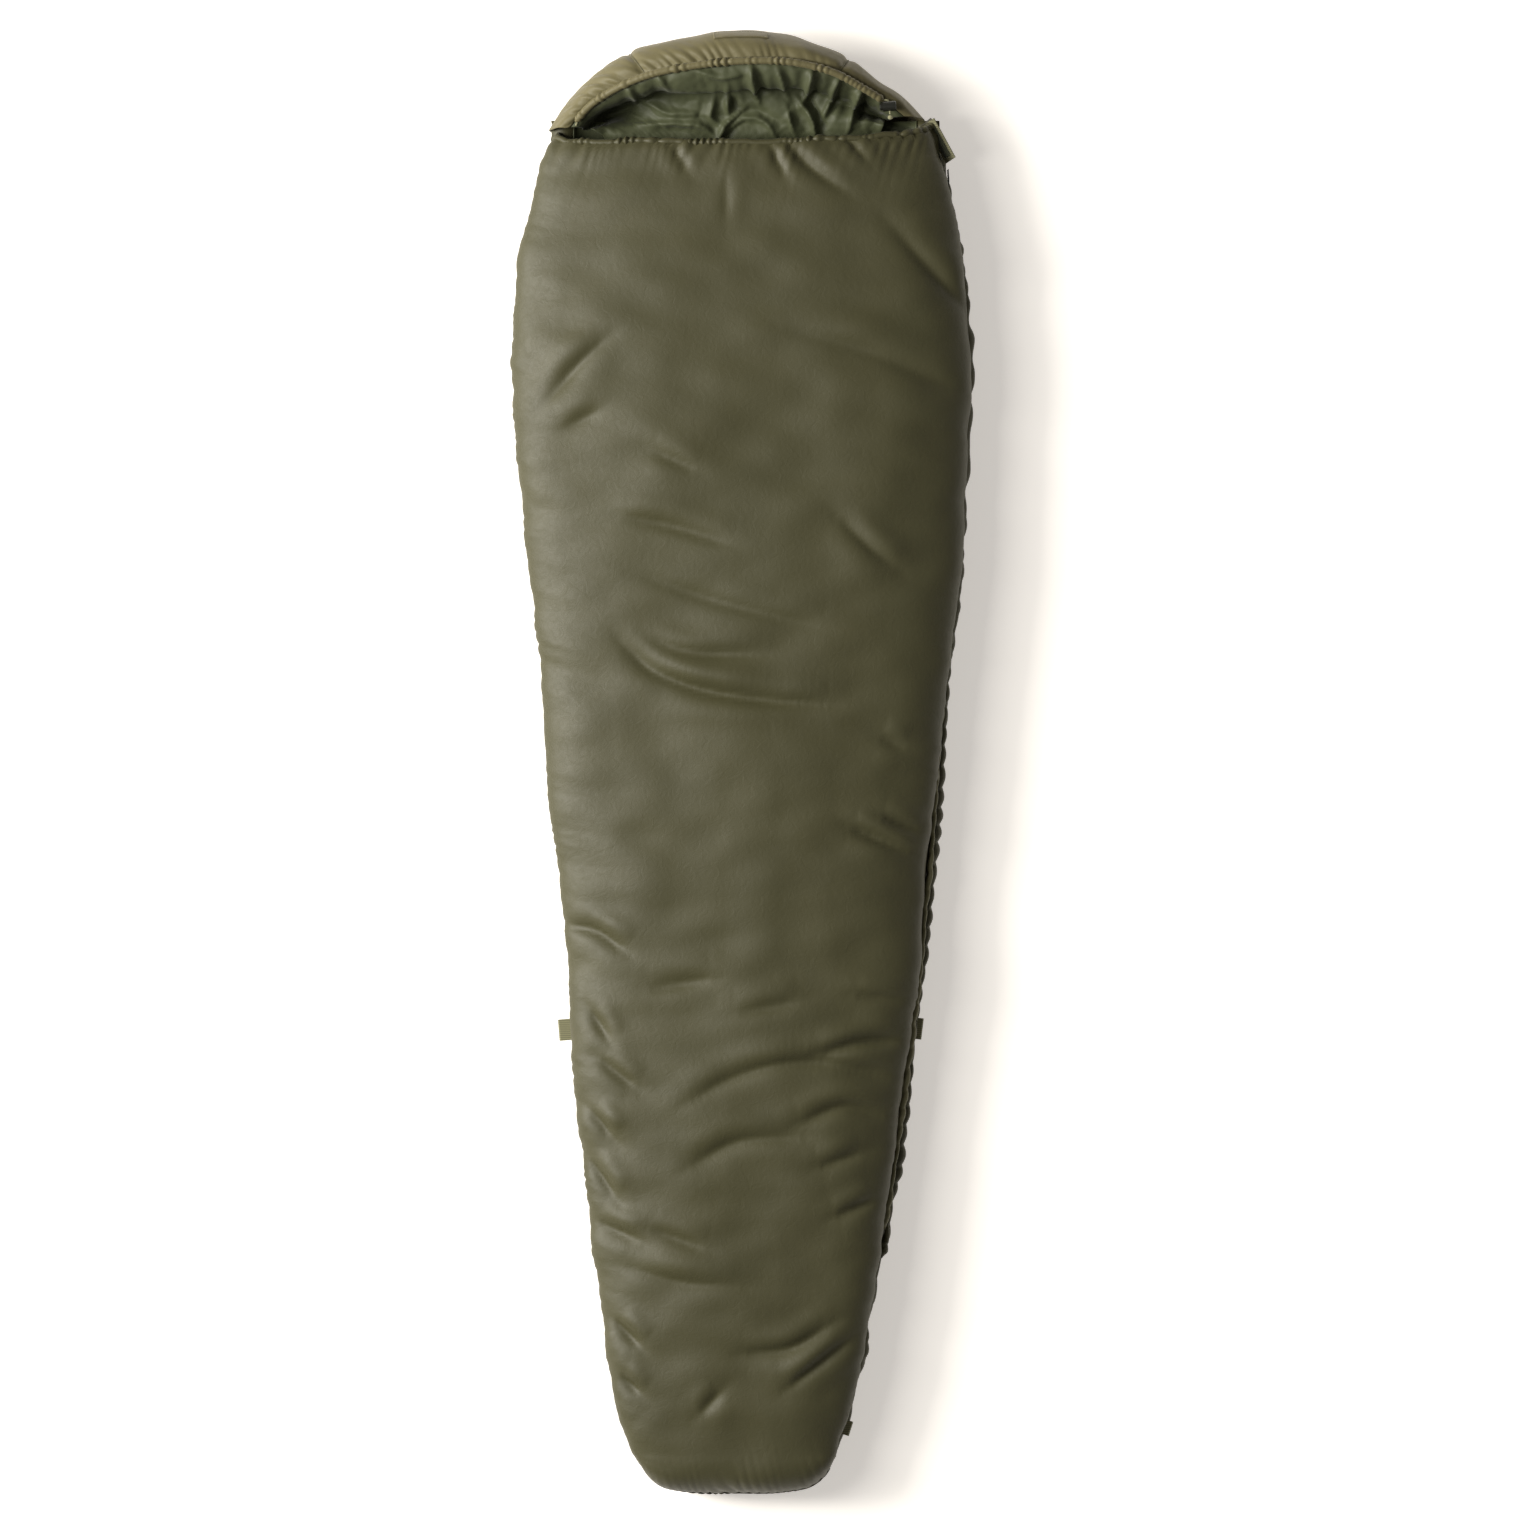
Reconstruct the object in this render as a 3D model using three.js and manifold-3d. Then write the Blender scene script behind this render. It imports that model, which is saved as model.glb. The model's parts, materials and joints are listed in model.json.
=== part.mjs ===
// Mummy-shaped bivouac sleeping bag, lying flat and unzipped, with the hood towards +Y.
// Millimetres, +Z up. The origin is on the ground under the middle of the bag's outline.
// Two quilts (outer shell, filling, lining) meet at a side seam; the zip runs up the +X side.
// The top quilt is cut along a diagonal fold, so that its unzipped corner can be turned back.
import * as THREE from "three";
import { mergeVertices } from "three/addons/utils/BufferGeometryUtils.js";
import Module from "manifold-3d";

const wasm = await Module();
wasm.setup();

// ---------- driving dimensions ----------
const FOOT_Y = -1058; // where the quilts end and the foot panel begins
const COLLAR_Y = 972; // where the bottom quilt ends and the hood begins
const SEAM_Z = 60; // height of the side seam and of the zip
const FLOOR_PAD = 37; // thickness of the bottom quilt under the sleeper
const QUILT_EDGE = 34; // width of each quilt's edge at the side seam
const CLOTH = 1.0; // thickness of a shell or lining
const GAP = 0.35; // space left between neighbouring pieces
const LEFT_RECESS = 10; // how far the left seam lies inside the outline
const ZIP_RECESS = 4.6; // how far the right seam lies inside the zip's middle plane
const STRIP = 5; // the bottom quilt shows this far beyond the top one on the zip side

// Half widths of the bag from foot to neck: [y, left, right].
const OUTLINE = [
  [-1058, 158, 136],
  [-953, 192, 168],
  [-773, 223, 203],
  [-533, 250, 237],
  [-292, 271, 261],
  [-52, 291, 289],
  [187, 313, 319],
  [428, 338, 339],
  [640, 349, 346],
  [788, 336, 328],
  [908, 306, 303],
  [1000, 268, 258],
];
// Height of the crown and thickness of the top quilt: [y, crown, thickness].
const CROWN = [
  [-1058, 116, 38],
  [-900, 132, 40],
  [-533, 141, 42],
  [0, 148, 43],
  [608, 156, 44],
  [850, 146, 42],
  [1000, 126, 26],
];
// Seen from above, the hood's outside and its rim, from the left corner to the right.
const HOOD_OUTSIDE = [
  [-285, 974], [-262, 1001], [-225, 1038], [-168, 1073], [-90, 1093], [0, 1100],
  [75, 1092], [150, 1064], [205, 1027], [248, 997], [271, 974],
];
const HOOD_RIM = [
  [-250, 974, 100], [-230, 992, 108], [-197, 1012, 122], [-150, 1031, 138], [-75, 1046, 148],
  [4, 1053, 152], [80, 1050, 150], [136, 1036, 142], [180, 1014, 128], [216, 993, 112], [241, 974, 100],
];

const ZIP_LOW = new THREE.Vector2(212, -690);
const ZIP_TOP = new THREE.Vector2(303, 898);
const ZIP_BULGE = 40; // rise of the zip's arc over its chord
const TAPE_THICK = 0.9;
const TAPE_WIDE = 13;
const COIL_THICK = 2.4;
const COIL_WIDE = 2.2;
const COIL_GAP = 0.8; // from the zip's mid line to each coil, filled by the slider's bridge

const FOLD_START = new THREE.Vector2(-205, 935); // the turned-back corner's fold line
const FOLD_END_Y = 10;
const CORD_RADIUS = 1.5;

// ---------- curves ----------
// A smooth function of y through rows of [y, value, value...].
function profile(rows) {
  const stations = rows.map((row) => row[0]);
  const values = rows.flatMap((row) => row.slice(1));
  const curve = new THREE.CubicInterpolant(stations, values, rows[0].length - 1);
  return (y) => Array.from(curve.evaluate(y));
}
const outlineAt = profile(OUTLINE);
const crownAt = profile(CROWN);
const lerp = THREE.MathUtils.lerp;
const smooth = (k) => THREE.MathUtils.smoothstep(k, 0, 1);

// The zip is one circular arc seen from above, so that its slider turns about the arc's centre.
const zipChord = ZIP_TOP.clone().sub(ZIP_LOW);
const ZIP_RADIUS = zipChord.lengthSq() / (8 * ZIP_BULGE) + ZIP_BULGE / 2;
const chordNormal = new THREE.Vector2(-zipChord.y, zipChord.x).normalize();
const ZIP_CENTRE = ZIP_LOW.clone()
  .add(ZIP_TOP)
  .multiplyScalar(0.5)
  .addScaledVector(chordNormal, ZIP_RADIUS - ZIP_BULGE);
const zipX = (y) => ZIP_CENTRE.x + Math.sqrt(ZIP_RADIUS ** 2 - (y - ZIP_CENTRE.y) ** 2);
const zipAngle = (y) => Math.asin((y - ZIP_CENTRE.y) / ZIP_RADIUS);

// The side seams' distances from the middle, and how far each quilt bulges beyond them.
function sides(y) {
  const [left, right] = outlineAt(y);
  const onZip = zipX(y) - ZIP_RECESS;
  const offZip = Math.min(onZip, right - LEFT_RECESS);
  const above = smooth((y - ZIP_TOP.y - 6) / 50);
  const below = smooth((ZIP_LOW.y - y) / 60);
  const seamRight = lerp(onZip, offZip, Math.max(above, below));
  const outRight = Math.max(right, seamRight + STRIP + 3);
  return {
    seamLeft: left - LEFT_RECESS,
    seamRight,
    left,
    right: outRight,
    // The top quilt doesn't swell out beside the closure tab.
    topRight: lerp(outRight - STRIP, seamRight, smooth((y - ZIP_TOP.y + 20) / 25)),
  };
}

// ---------- cross-sections of the quilts, as functions of y and of u, 0 at left and 1 at right ----------
const VALLEY = 0.12; // share of u spent on each recess beside the seam
const VALLEY_RISE = 25; // height over which a quilt swells out from the seam
const VALLEY_WALL = 0.58; // share of that height that stays at the seam, behind the zip
const CORNER = 0.27; // share of u where the bottom quilt's flat underside starts
const ROUND = 52; // width of the bottom quilt's rounded corners
const DOME_POWER = 2 / 2.25;
const HALF_COLUMNS = [0, VALLEY * VALLEY_WALL, VALLEY, 0.16, 0.21, CORNER, 0.34, 0.42];
const COLUMNS = [...HALF_COLUMNS, 0.5, ...HALF_COLUMNS.map((u) => 1 - u).reverse()];

function valley(seam, out, k) {
  return lerp(seam, out, smooth((k - VALLEY_WALL) / (1 - VALLEY_WALL)));
}

function topOuter(y, u) {
  const s = sides(y);
  const side = u < 0.5 ? -1 : 1;
  const seam = side < 0 ? s.seamLeft : s.seamRight;
  const out = side < 0 ? s.left : s.topRight;
  const k = Math.min(u, 1 - u) / VALLEY;
  const base = SEAM_Z + VALLEY_RISE;
  if (k < 1) return [side * valley(seam, out, k), SEAM_Z + GAP + (VALLEY_RISE - GAP) * k];
  const angle = (Math.PI * (Math.min(u, 1 - u) - VALLEY)) / (1 - 2 * VALLEY);
  const crown = crownAt(y)[0];
  return [
    side * out * Math.cos(angle) ** DOME_POWER,
    base + (crown - base) * Math.sin(angle) ** DOME_POWER,
  ];
}

function innerX(y, u) {
  const s = sides(y);
  const across = Math.cos(Math.PI * (1 - u));
  const reach = (across < 0 ? s.seamLeft : s.seamRight) - QUILT_EDGE;
  return Math.sign(across) * reach * Math.abs(across) ** 0.9;
}

function topInner(y, u) {
  const [crown, thick] = crownAt(y);
  return [innerX(y, u), SEAM_Z + GAP + (crown - thick - SEAM_Z) * Math.sin(Math.PI * u) ** 0.85];
}

function bottomOuter(y, u) {
  const s = sides(y);
  const side = u < 0.5 ? -1 : 1;
  const seam = side < 0 ? s.seamLeft : s.seamRight;
  const out = side < 0 ? s.left - STRIP : s.right;
  const edge = Math.min(u, 1 - u);
  if (edge < VALLEY) {
    const k = edge / VALLEY;
    return [side * valley(seam, out, k), SEAM_Z - GAP - (VALLEY_RISE - GAP) * k];
  }
  const turn = Math.min((edge - VALLEY) / (CORNER - VALLEY), 1) * (Math.PI / 2);
  const flat = Math.max(edge - CORNER, 0) / (0.5 - CORNER);
  const x = (out - ROUND * (1 - Math.cos(turn))) * (1 - flat);
  return [side * x, (SEAM_Z - VALLEY_RISE) * (1 - Math.sin(turn))];
}

function bottomInner(y, u) {
  return [innerX(y, u), SEAM_Z - GAP - (SEAM_Z - FLOOR_PAD) * Math.sin(Math.PI * u) ** 0.6];
}

// The top quilt's neck edge sags between its corners.
const NECK_SAG = 40;
const neckY = (u) => COLLAR_Y - 16 + 12 * u - NECK_SAG * (1 - (2 * u - 1) ** 2);

// ---------- solids ----------
// A closed slab between two grids of points. pointAt(u, v, face) gives each grid, face 0 or 1.
function slab(pointAt, across, along) {
  const positions = [];
  const index = [];
  const row = across + 1;
  const sheet = row * (along + 1);
  for (const face of [0, 1])
    for (let j = 0; j <= along; j++)
      for (let i = 0; i <= across; i++) positions.push(...pointAt(i / across, j / along, face));
  const quad = (a, b, c, d) => index.push(a, b, c, a, c, d);
  for (let j = 0; j < along; j++)
    for (let i = 0; i < across; i++) {
      const a = j * row + i;
      quad(a, a + 1, a + row + 1, a + row);
      quad(a + sheet, a + sheet + row, a + sheet + row + 1, a + sheet + 1);
    }
  for (let i = 0; i < across; i++) {
    const far = along * row + i;
    quad(i, i + sheet, i + sheet + 1, i + 1);
    quad(far, far + 1, far + 1 + sheet, far + sheet);
  }
  for (let j = 0; j < along; j++) {
    const near = j * row;
    const end = near + across;
    quad(near, near + row, near + row + sheet, near + sheet);
    quad(end, end + sheet, end + sheet + row, end + row);
  }
  const geometry = new THREE.BufferGeometry();
  geometry.setAttribute("position", new THREE.Float32BufferAttribute(positions, 3));
  geometry.setIndex(index);
  return facingOut(geometry);
}

function signedVolume(geometry) {
  const p = geometry.getAttribute("position");
  const corner = (i) => new THREE.Vector3().fromBufferAttribute(p, geometry.index.getX(i));
  let total = 0;
  for (let i = 0; i < geometry.index.count; i += 3)
    total += corner(i).dot(corner(i + 1).cross(corner(i + 2))) / 6;
  return total;
}

function facingOut(geometry) {
  if (signedVolume(geometry) > 0) return geometry;
  const order = geometry.index.array;
  for (let i = 0; i < order.length; i += 3) [order[i + 1], order[i + 2]] = [order[i + 2], order[i + 1]];
  return geometry;
}

function toSolid(geometry) {
  const bare = geometry.clone();
  bare.deleteAttribute("normal");
  bare.deleteAttribute("uv");
  const merged = mergeVertices(bare, 1e-4);
  return new wasm.Manifold(
    new wasm.Mesh({
      numProp: 3,
      vertProperties: merged.getAttribute("position").array,
      triVerts: new Uint32Array(merged.index.array),
    }),
  );
}

function toGeometry(solid) {
  const mesh = solid.getMesh();
  const geometry = new THREE.BufferGeometry();
  geometry.setAttribute("position", new THREE.BufferAttribute(mesh.vertProperties.slice(), 3));
  geometry.setIndex(new THREE.BufferAttribute(mesh.triVerts.slice(), 1));
  return geometry;
}

const join = (...parts) => toGeometry(parts.map(toSolid).reduce((a, b) => a.add(b)));
function cut(body, ...tools) {
  return toGeometry(tools.map(toSolid).reduce((a, b) => a.subtract(b), toSolid(body)));
}

function box(width, depth, height, x = 0, y = 0, z = 0) {
  return new THREE.BoxGeometry(width, depth, height).translate(x, y, z);
}

// A shape swept along a smooth curve through the points.
function sweep(curvePoints, shape, steps) {
  const path = new THREE.CatmullRomCurve3(curvePoints);
  return new THREE.ExtrudeGeometry(shape, { steps, bevelEnabled: false, extrudePath: path });
}

// A regular polygon that stands for a disc, or for a ring if it has a hole.
function disc(radius, count, hole = 0) {
  const ring = (r) => {
    const corners = [];
    for (let i = 0; i < count; i++) {
      const a = (2 * Math.PI * i) / count;
      corners.push(new THREE.Vector2(r * Math.cos(a), r * Math.sin(a)));
    }
    return corners;
  };
  const shape = new THREE.Shape(ring(radius));
  if (hole) shape.holes.push(new THREE.Path(ring(hole).reverse()));
  return shape;
}

// ---------- materials ----------
function cloth(color, roughness) {
  return new THREE.MeshStandardMaterial({ color, roughness, metalness: 0 });
}
const shellCloth = cloth(0x55543c, 0.5);
const liningCloth = cloth(0x4c5540, 0.55);
const hoodCloth = cloth(0x716d4d, 0.5);
const wadding = cloth(0xd8d6cc, 0.95);
const tapeCloth = cloth(0x2f2f22, 0.8);
const webbing = cloth(0x5c5f45, 0.8);
const cordCloth = cloth(0x7d7f62, 0.8);
const coilNylon = cloth(0x20201a, 0.4);
const blackNylon = cloth(0x14150f, 0.45);
const hookPile = cloth(0x3c3f2c, 0.95);
const steel = new THREE.MeshStandardMaterial({ color: 0x9a9a94, roughness: 0.3, metalness: 1 });

const bag = new THREE.Group();
function add(name, geometry, material, parent = bag) {
  const mesh = new THREE.Mesh(geometry, material);
  mesh.name = name;
  parent.add(mesh);
  return mesh;
}

// ---------- layers: shell, filling and lining between an outer and an inner surface ----------
// Each layer runs from one depth to another, measured from the outer surface, or from the inner if negative.
const LAYERS = {
  shell: [0, CLOTH],
  fill: [CLOTH + GAP, -(CLOTH + GAP)],
  lining: [-CLOTH, -0],
};

// Columns and rows are the shares of the surface's width and length where the layer's points stand.
function layer(outerAt, innerAt, [from, to], columns, rows) {
  return slab(
    (u, v, face) => {
      const w = columns[Math.round(u * (columns.length - 1))];
      const h = rows[Math.round(v * (rows.length - 1))];
      const outer = outerAt(w, h);
      const inner = innerAt(w, h);
      const thick = outer.distanceTo(inner);
      const depth = face === 0 ? from : to;
      const fromInner = Object.is(depth, -0) || depth < 0;
      return outer.lerp(inner, fromInner ? 1 + depth / thick : depth / thick).toArray();
    },
    columns.length - 1,
    rows.length - 1,
  );
}

// ---------- bottom quilt ----------
const quiltPoint = (section, endY) => (u, v) => {
  const y = lerp(FOOT_Y, endY(u), v);
  const [x, z] = section(y, u);
  return new THREE.Vector3(x, y, z);
};
const bottomOutside = quiltPoint(bottomOuter, () => COLLAR_Y);
const bottomInside = quiltPoint(bottomInner, () => COLLAR_Y);
const QUILT_ROWS = [0, 0.05, 0.12, 0.21, 0.3, 0.39, 0.48, 0.57, 0.66, 0.75, 0.83, 0.9, 0.95, 0.975, 1];
function bottomLayer(which, rows = QUILT_ROWS) {
  return layer(bottomOutside, bottomInside, LAYERS[which], COLUMNS, rows);
}
// Each quilt's wadding is three batts laid end to end, which meet at these rows of QUILT_ROWS.
const BOTTOM_BATTS = { feet: [0, 5], hips: [5, 9], chest: [9, 14] };
const TOP_BATTS = { feet: [0, 4], hips: [4, 8], chest: [8, 14] };
const BATT_GAP = 0.0002; // half the gap between two batts, as a share of the quilt's length
function battRows([from, to]) {
  const rows = QUILT_ROWS.slice(from, to + 1);
  if (from > 0) rows[0] += BATT_GAP;
  if (to < QUILT_ROWS.length - 1) rows[rows.length - 1] -= BATT_GAP;
  return rows;
}
add("bottom_shell", bottomLayer("shell"), shellCloth);
for (const [place, rows] of Object.entries(BOTTOM_BATTS))
  add("bottom_fill_" + place, bottomLayer("fill", battRows(rows)), wadding);
add("bottom_lining", bottomLayer("lining"), liningCloth);

// ---------- the fold line, and what it cuts in two ----------
const foldStart = new THREE.Vector3(FOLD_START.x, FOLD_START.y, 0);
const foldEnd = new THREE.Vector3(zipX(FOLD_END_Y), FOLD_END_Y, 0);
const foldAlong = foldEnd.clone().sub(foldStart).normalize();
const foldAcross = new THREE.Vector3(-foldAlong.y, foldAlong.x, 0); // points to the corner's side

// A block that covers everything on one side of the fold's vertical plane.
function halfSpace(side) {
  const size = 4000;
  const middle = foldStart.clone().addScaledVector(foldAcross, side * (size / 2 + GAP));
  return new THREE.BoxGeometry(size, size, size)
    .rotateZ(Math.atan2(foldAlong.y, foldAlong.x))
    .translate(middle.x, middle.y, middle.z);
}

function addSide(name, side, geometry, material) {
  add(name, toGeometry(toSolid(geometry).intersect(toSolid(halfSpace(side)))), material);
}
function addFolding(fixedName, cornerName, geometry, material) {
  addSide(fixedName, -1, geometry, material);
  addSide(cornerName, 1, geometry, material);
}

// ---------- top quilt ----------
const topOutside = quiltPoint(topOuter, neckY);
const topInside = quiltPoint(topInner, neckY);
function topLayer(which, rows = QUILT_ROWS) {
  return layer(topOutside, topInside, LAYERS[which], COLUMNS, rows);
}
addFolding("top_shell", "corner_shell", topLayer("shell"), shellCloth);
for (const [place, rows] of Object.entries(TOP_BATTS))
  addSide("top_fill_" + place, -1, topLayer("fill", battRows(rows)), wadding);
addSide("corner_fill", 1, topLayer("fill"), wadding);
addFolding("top_lining", "corner_lining", topLayer("lining"), liningCloth);

// ---------- foot panel: a domed cap over the quilts' end ----------
const FOOT_DEPTH = 1100 + FOOT_Y - CLOTH;
const FOOT_POWER = 2 / 2.7;
const FOOT_INSET = 2;
// A square grid spread over a disc, so that it has no pole, then stretched to the bag's end.
// rise is 1 at the middle of the dome and 0 at its rim.
function footPoint(u, v) {
  const a = 2 * u - 1;
  const b = 2 * v - 1;
  const across = a * Math.sqrt(1 - (b * b) / 2);
  const up = b * Math.sqrt(1 - (a * a) / 2);
  const radius = Math.min(Math.hypot(across, up), 1);
  const bulge = (k) => Math.sign(k) * Math.abs(k / Math.max(radius, 1e-9)) ** FOOT_POWER * radius;
  const [left, right] = outlineAt(FOOT_Y);
  const width = (across < 0 ? left : right) - FOOT_INSET;
  const height = up < 0 ? SEAM_Z : crownAt(FOOT_Y)[0] - SEAM_Z - FOOT_INSET;
  return { x: width * bulge(across), z: SEAM_Z + height * bulge(up), rise: Math.sqrt(1 - radius * radius) };
}
const footSheet = (depthAt) => (u, v) => {
  const { x, z, rise } = footPoint(u, v);
  return [x, FOOT_Y - depthAt(rise), z];
};
const RIM_DEPTH = 2 * CLOTH + 3 * GAP; // the cap's rim stands this far from the quilts
const footOutside = (rise) => CLOTH + RIM_DEPTH + (FOOT_DEPTH - RIM_DEPTH) * rise;
const footSlab = (front, back) =>
  slab((u, v, face) => (face === 0 ? footSheet(front) : footSheet(back))(u, v), 10, 6);
add("foot_shell", footSlab(footOutside, (rise) => footOutside(rise) - CLOTH), shellCloth);
add("foot_fill", footSlab((rise) => footOutside(rise) - CLOTH - GAP, () => CLOTH + 2 * GAP), wadding);
add("foot_lining", footSlab(() => CLOTH + GAP, () => GAP), liningCloth);

// ---------- hood ----------
const hoodOutside = new THREE.CatmullRomCurve3(HOOD_OUTSIDE.map(([x, y]) => new THREE.Vector3(x, y, 0)));
const hoodRim = new THREE.CatmullRomCurve3(HOOD_RIM.map((p) => new THREE.Vector3(...p)));
const HEAD_FLOOR = [-214, 204]; // the ends of the hood's floor along the collar

function hoodFrame(t) {
  const foot = hoodOutside.getPoint(t);
  const rim = hoodRim.getPoint(t);
  const inward = new THREE.Vector3(rim.x - foot.x, rim.y - foot.y, 0);
  const reach = inward.length();
  inward.normalize();
  const place = (r, z) => foot.clone().addScaledVector(inward, r).setZ(z);
  return { rim, reach, inward, place };
}

// Points down the wall from the rim, then across the floor to the collar.
// v is 0 at the rim and 1 at the collar.
function hoodLine(points, v) {
  const at = v * (points.length - 1);
  const i = Math.min(Math.floor(at), points.length - 2);
  return points[i].clone().lerp(points[i + 1], at - i);
}
function hoodOuterLine(t) {
  const { rim, reach, place } = hoodFrame(t);
  return [
    place(reach, rim.z),
    place(reach * 0.6, rim.z - 3),
    place(reach * 0.22, rim.z - 17),
    place(0, 66),
    place(3, 32),
    place(16, 8),
    place(42, 0),
    new THREE.Vector3(lerp(...HEAD_FLOOR, t), COLLAR_Y + 0.5, 0),
  ];
}
function hoodInnerLine(t) {
  const { rim, reach, place } = hoodFrame(t);
  const low = Math.max(rim.z - 58, 53);
  return [
    place(reach + 4, rim.z - 1),
    place(reach + 20, rim.z - 10),
    place(reach + 33, rim.z - 30),
    place(reach + 30, low),
    place(Math.max(reach + 12, 50), 46),
    place(58, 41),
    place(66, FLOOR_PAD + 1),
    new THREE.Vector3(lerp(...HEAD_FLOOR, t), COLLAR_Y + 0.5, FLOOR_PAD),
  ];
}
const hoodOuter = (t, v) => hoodLine(hoodOuterLine(t), v);
const hoodInner = (t, v) => hoodLine(hoodInnerLine(t), v);
const evenly = (count) => Array.from({ length: count + 1 }, (_, i) => i / count);
const HOOD_ROWS = evenly(7);
const HOOD_COLUMNS = evenly(16);
const HOOD_SEAMS = [5, 11]; // the columns where the centre panel's seams lie
const SEAM_SHARE = 0.0006;
function hoodPanel(from, to) {
  const columns = HOOD_COLUMNS.slice(from, to + 1);
  if (from > 0) columns[0] += SEAM_SHARE;
  if (to < HOOD_COLUMNS.length - 1) columns[columns.length - 1] -= SEAM_SHARE;
  return layer(hoodOuter, hoodInner, LAYERS.shell, columns, HOOD_ROWS);
}
add("hood_shell_left", hoodPanel(0, HOOD_SEAMS[0]), hoodCloth);
add("hood_shell_centre", hoodPanel(...HOOD_SEAMS), hoodCloth);
add("hood_shell_right", hoodPanel(HOOD_SEAMS[1], HOOD_COLUMNS.length - 1), hoodCloth);
add("hood_fill", layer(hoodOuter, hoodInner, LAYERS.fill, HOOD_COLUMNS, HOOD_ROWS), wadding);
add("hood_lining", layer(hoodOuter, hoodInner, LAYERS.lining, HOOD_COLUMNS, HOOD_ROWS), liningCloth);

// A plain woven label on the outside of the hood.
const LABEL = { from: 0.44, to: 0.54, low: 0.15, high: 0.225 };
add(
  "hood_label",
  slab((u, v, face) => {
    const t = lerp(LABEL.from, LABEL.to, u);
    const down = lerp(LABEL.low, LABEL.high, v);
    const outer = hoodOuter(t, down);
    const away = outer.clone().sub(hoodInner(t, down)).normalize();
    return outer.addScaledVector(away, face === 0 ? 1.5 : 0.5).toArray();
  }, 3, 1),
  webbing,
);

// ---------- drawcord, its channels and its lock ----------
const CHANNEL_RADIUS = 4.6;
const CHANNEL_HOLE = 2.7;
const channelLine = (t) => {
  const { rim, reach, place } = hoodFrame(t);
  return place(reach + 2, rim.z + CHANNEL_RADIUS + 1);
};
const CHANNEL_ENDS = [0.03, 0.88];
function samples(curve, from, to, count) {
  const points = [];
  for (let i = 0; i <= count; i++) points.push(curve(lerp(from, to, i / count)));
  return points;
}
const hoodChannelPath = samples(channelLine, ...CHANNEL_ENDS, 16);
add("hood_cord_channel", sweep(hoodChannelPath, disc(CHANNEL_RADIUS, 6, CHANNEL_HOLE), 22), hoodCloth);

const neckEdge = (u) => {
  const outer = topOutside(u, 1);
  return outer.lerp(topInside(u, 1), 0.3).add(new THREE.Vector3(0, CHANNEL_RADIUS + 0.8, 0));
};
const NECK_CHANNEL = [0.295, 0.84];
const neckPath = samples(neckEdge, ...NECK_CHANNEL, 14);
add("neck_cord_channel", sweep(neckPath, disc(CHANNEL_RADIUS, 6, CHANNEL_HOLE), 18), shellCloth);
add("neck_drawcord", sweep(neckPath, disc(CORD_RADIUS, 6), 18), cordCloth);

// The lock lies on the lining inside the rim's right end, with its button towards the sleeper's face.
const LOCK_AT = 0.93;
const lock = new THREE.Group();
{
  const { rim, reach, inward, place } = hoodFrame(LOCK_AT);
  const cordwise = new THREE.Vector3(inward.y, -inward.x, 0);
  lock.position.copy(place(reach + 6, rim.z + 16));
  lock.quaternion.setFromRotationMatrix(
    new THREE.Matrix4().makeBasis(cordwise, new THREE.Vector3(0, 0, 1), inward.clone().negate()),
  );
}
lock.updateMatrix();
bag.add(lock);

// In the lock's own frame: x along the cord, y up, z out of the closed end; the button comes out towards -z.
const BARREL = { radius: 7.5, bore: 5.7, half: 10, floor: 1.6, hole: 2.7 };
const PLUNGER = { radius: 5.4, out: 4.6, end: 3.2, eye: [-5.2, 1.75], eyeHalf: 2.5 };
function lathe(points, segments) {
  const solid = new THREE.LatheGeometry(points.map(([r, z]) => new THREE.Vector2(r, z)), segments);
  return facingOut(mergeVertices(stripped(solid), 1e-4));
}
function stripped(geometry) {
  geometry.deleteAttribute("normal");
  geometry.deleteAttribute("uv");
  return geometry;
}
const barrelCup = lathe([
  [0, BARREL.half], [BARREL.radius - 1, BARREL.half], [BARREL.radius, BARREL.half - 1],
  [BARREL.radius, -BARREL.half], [BARREL.bore, -BARREL.half], [BARREL.bore, BARREL.half - BARREL.floor],
  [0, BARREL.half - BARREL.floor],
], 16).rotateX(Math.PI / 2);
const cordHole = new THREE.CylinderGeometry(BARREL.hole, BARREL.hole, 40, 10).rotateZ(Math.PI / 2);
add("cord_lock_barrel", cut(barrelCup, cordHole), blackNylon, lock);

const plungerTop = -BARREL.half - PLUNGER.out;
const plungerBody = lathe([
  [0, plungerTop], [PLUNGER.radius - 1, plungerTop], [PLUNGER.radius, plungerTop + 1],
  [PLUNGER.radius, PLUNGER.end], [0, PLUNGER.end],
], 16).rotateX(Math.PI / 2);
const [eyeFrom, eyeTo] = PLUNGER.eye;
const plungerEye = box(20, 2 * PLUNGER.eyeHalf, eyeTo - eyeFrom, 0, 0, (eyeTo + eyeFrom) / 2);
add("cord_lock_plunger", cut(plungerBody, plungerEye), blackNylon, lock);

const SPRING = { turns: 2.5, radius: 3.6, wire: 0.4 };
const springFrom = PLUNGER.end + SPRING.wire + GAP;
const springTo = BARREL.half - BARREL.floor - SPRING.wire - GAP;
const springPath = samples((k) => {
  const a = 2 * Math.PI * SPRING.turns * k;
  const z = lerp(springFrom, springTo, k);
  return new THREE.Vector3(SPRING.radius * Math.cos(a), SPRING.radius * Math.sin(a), z);
}, 0, 1, 24);
add("cord_lock_spring", sweep(springPath, disc(SPRING.wire, 5), 26), steel, lock);

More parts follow.
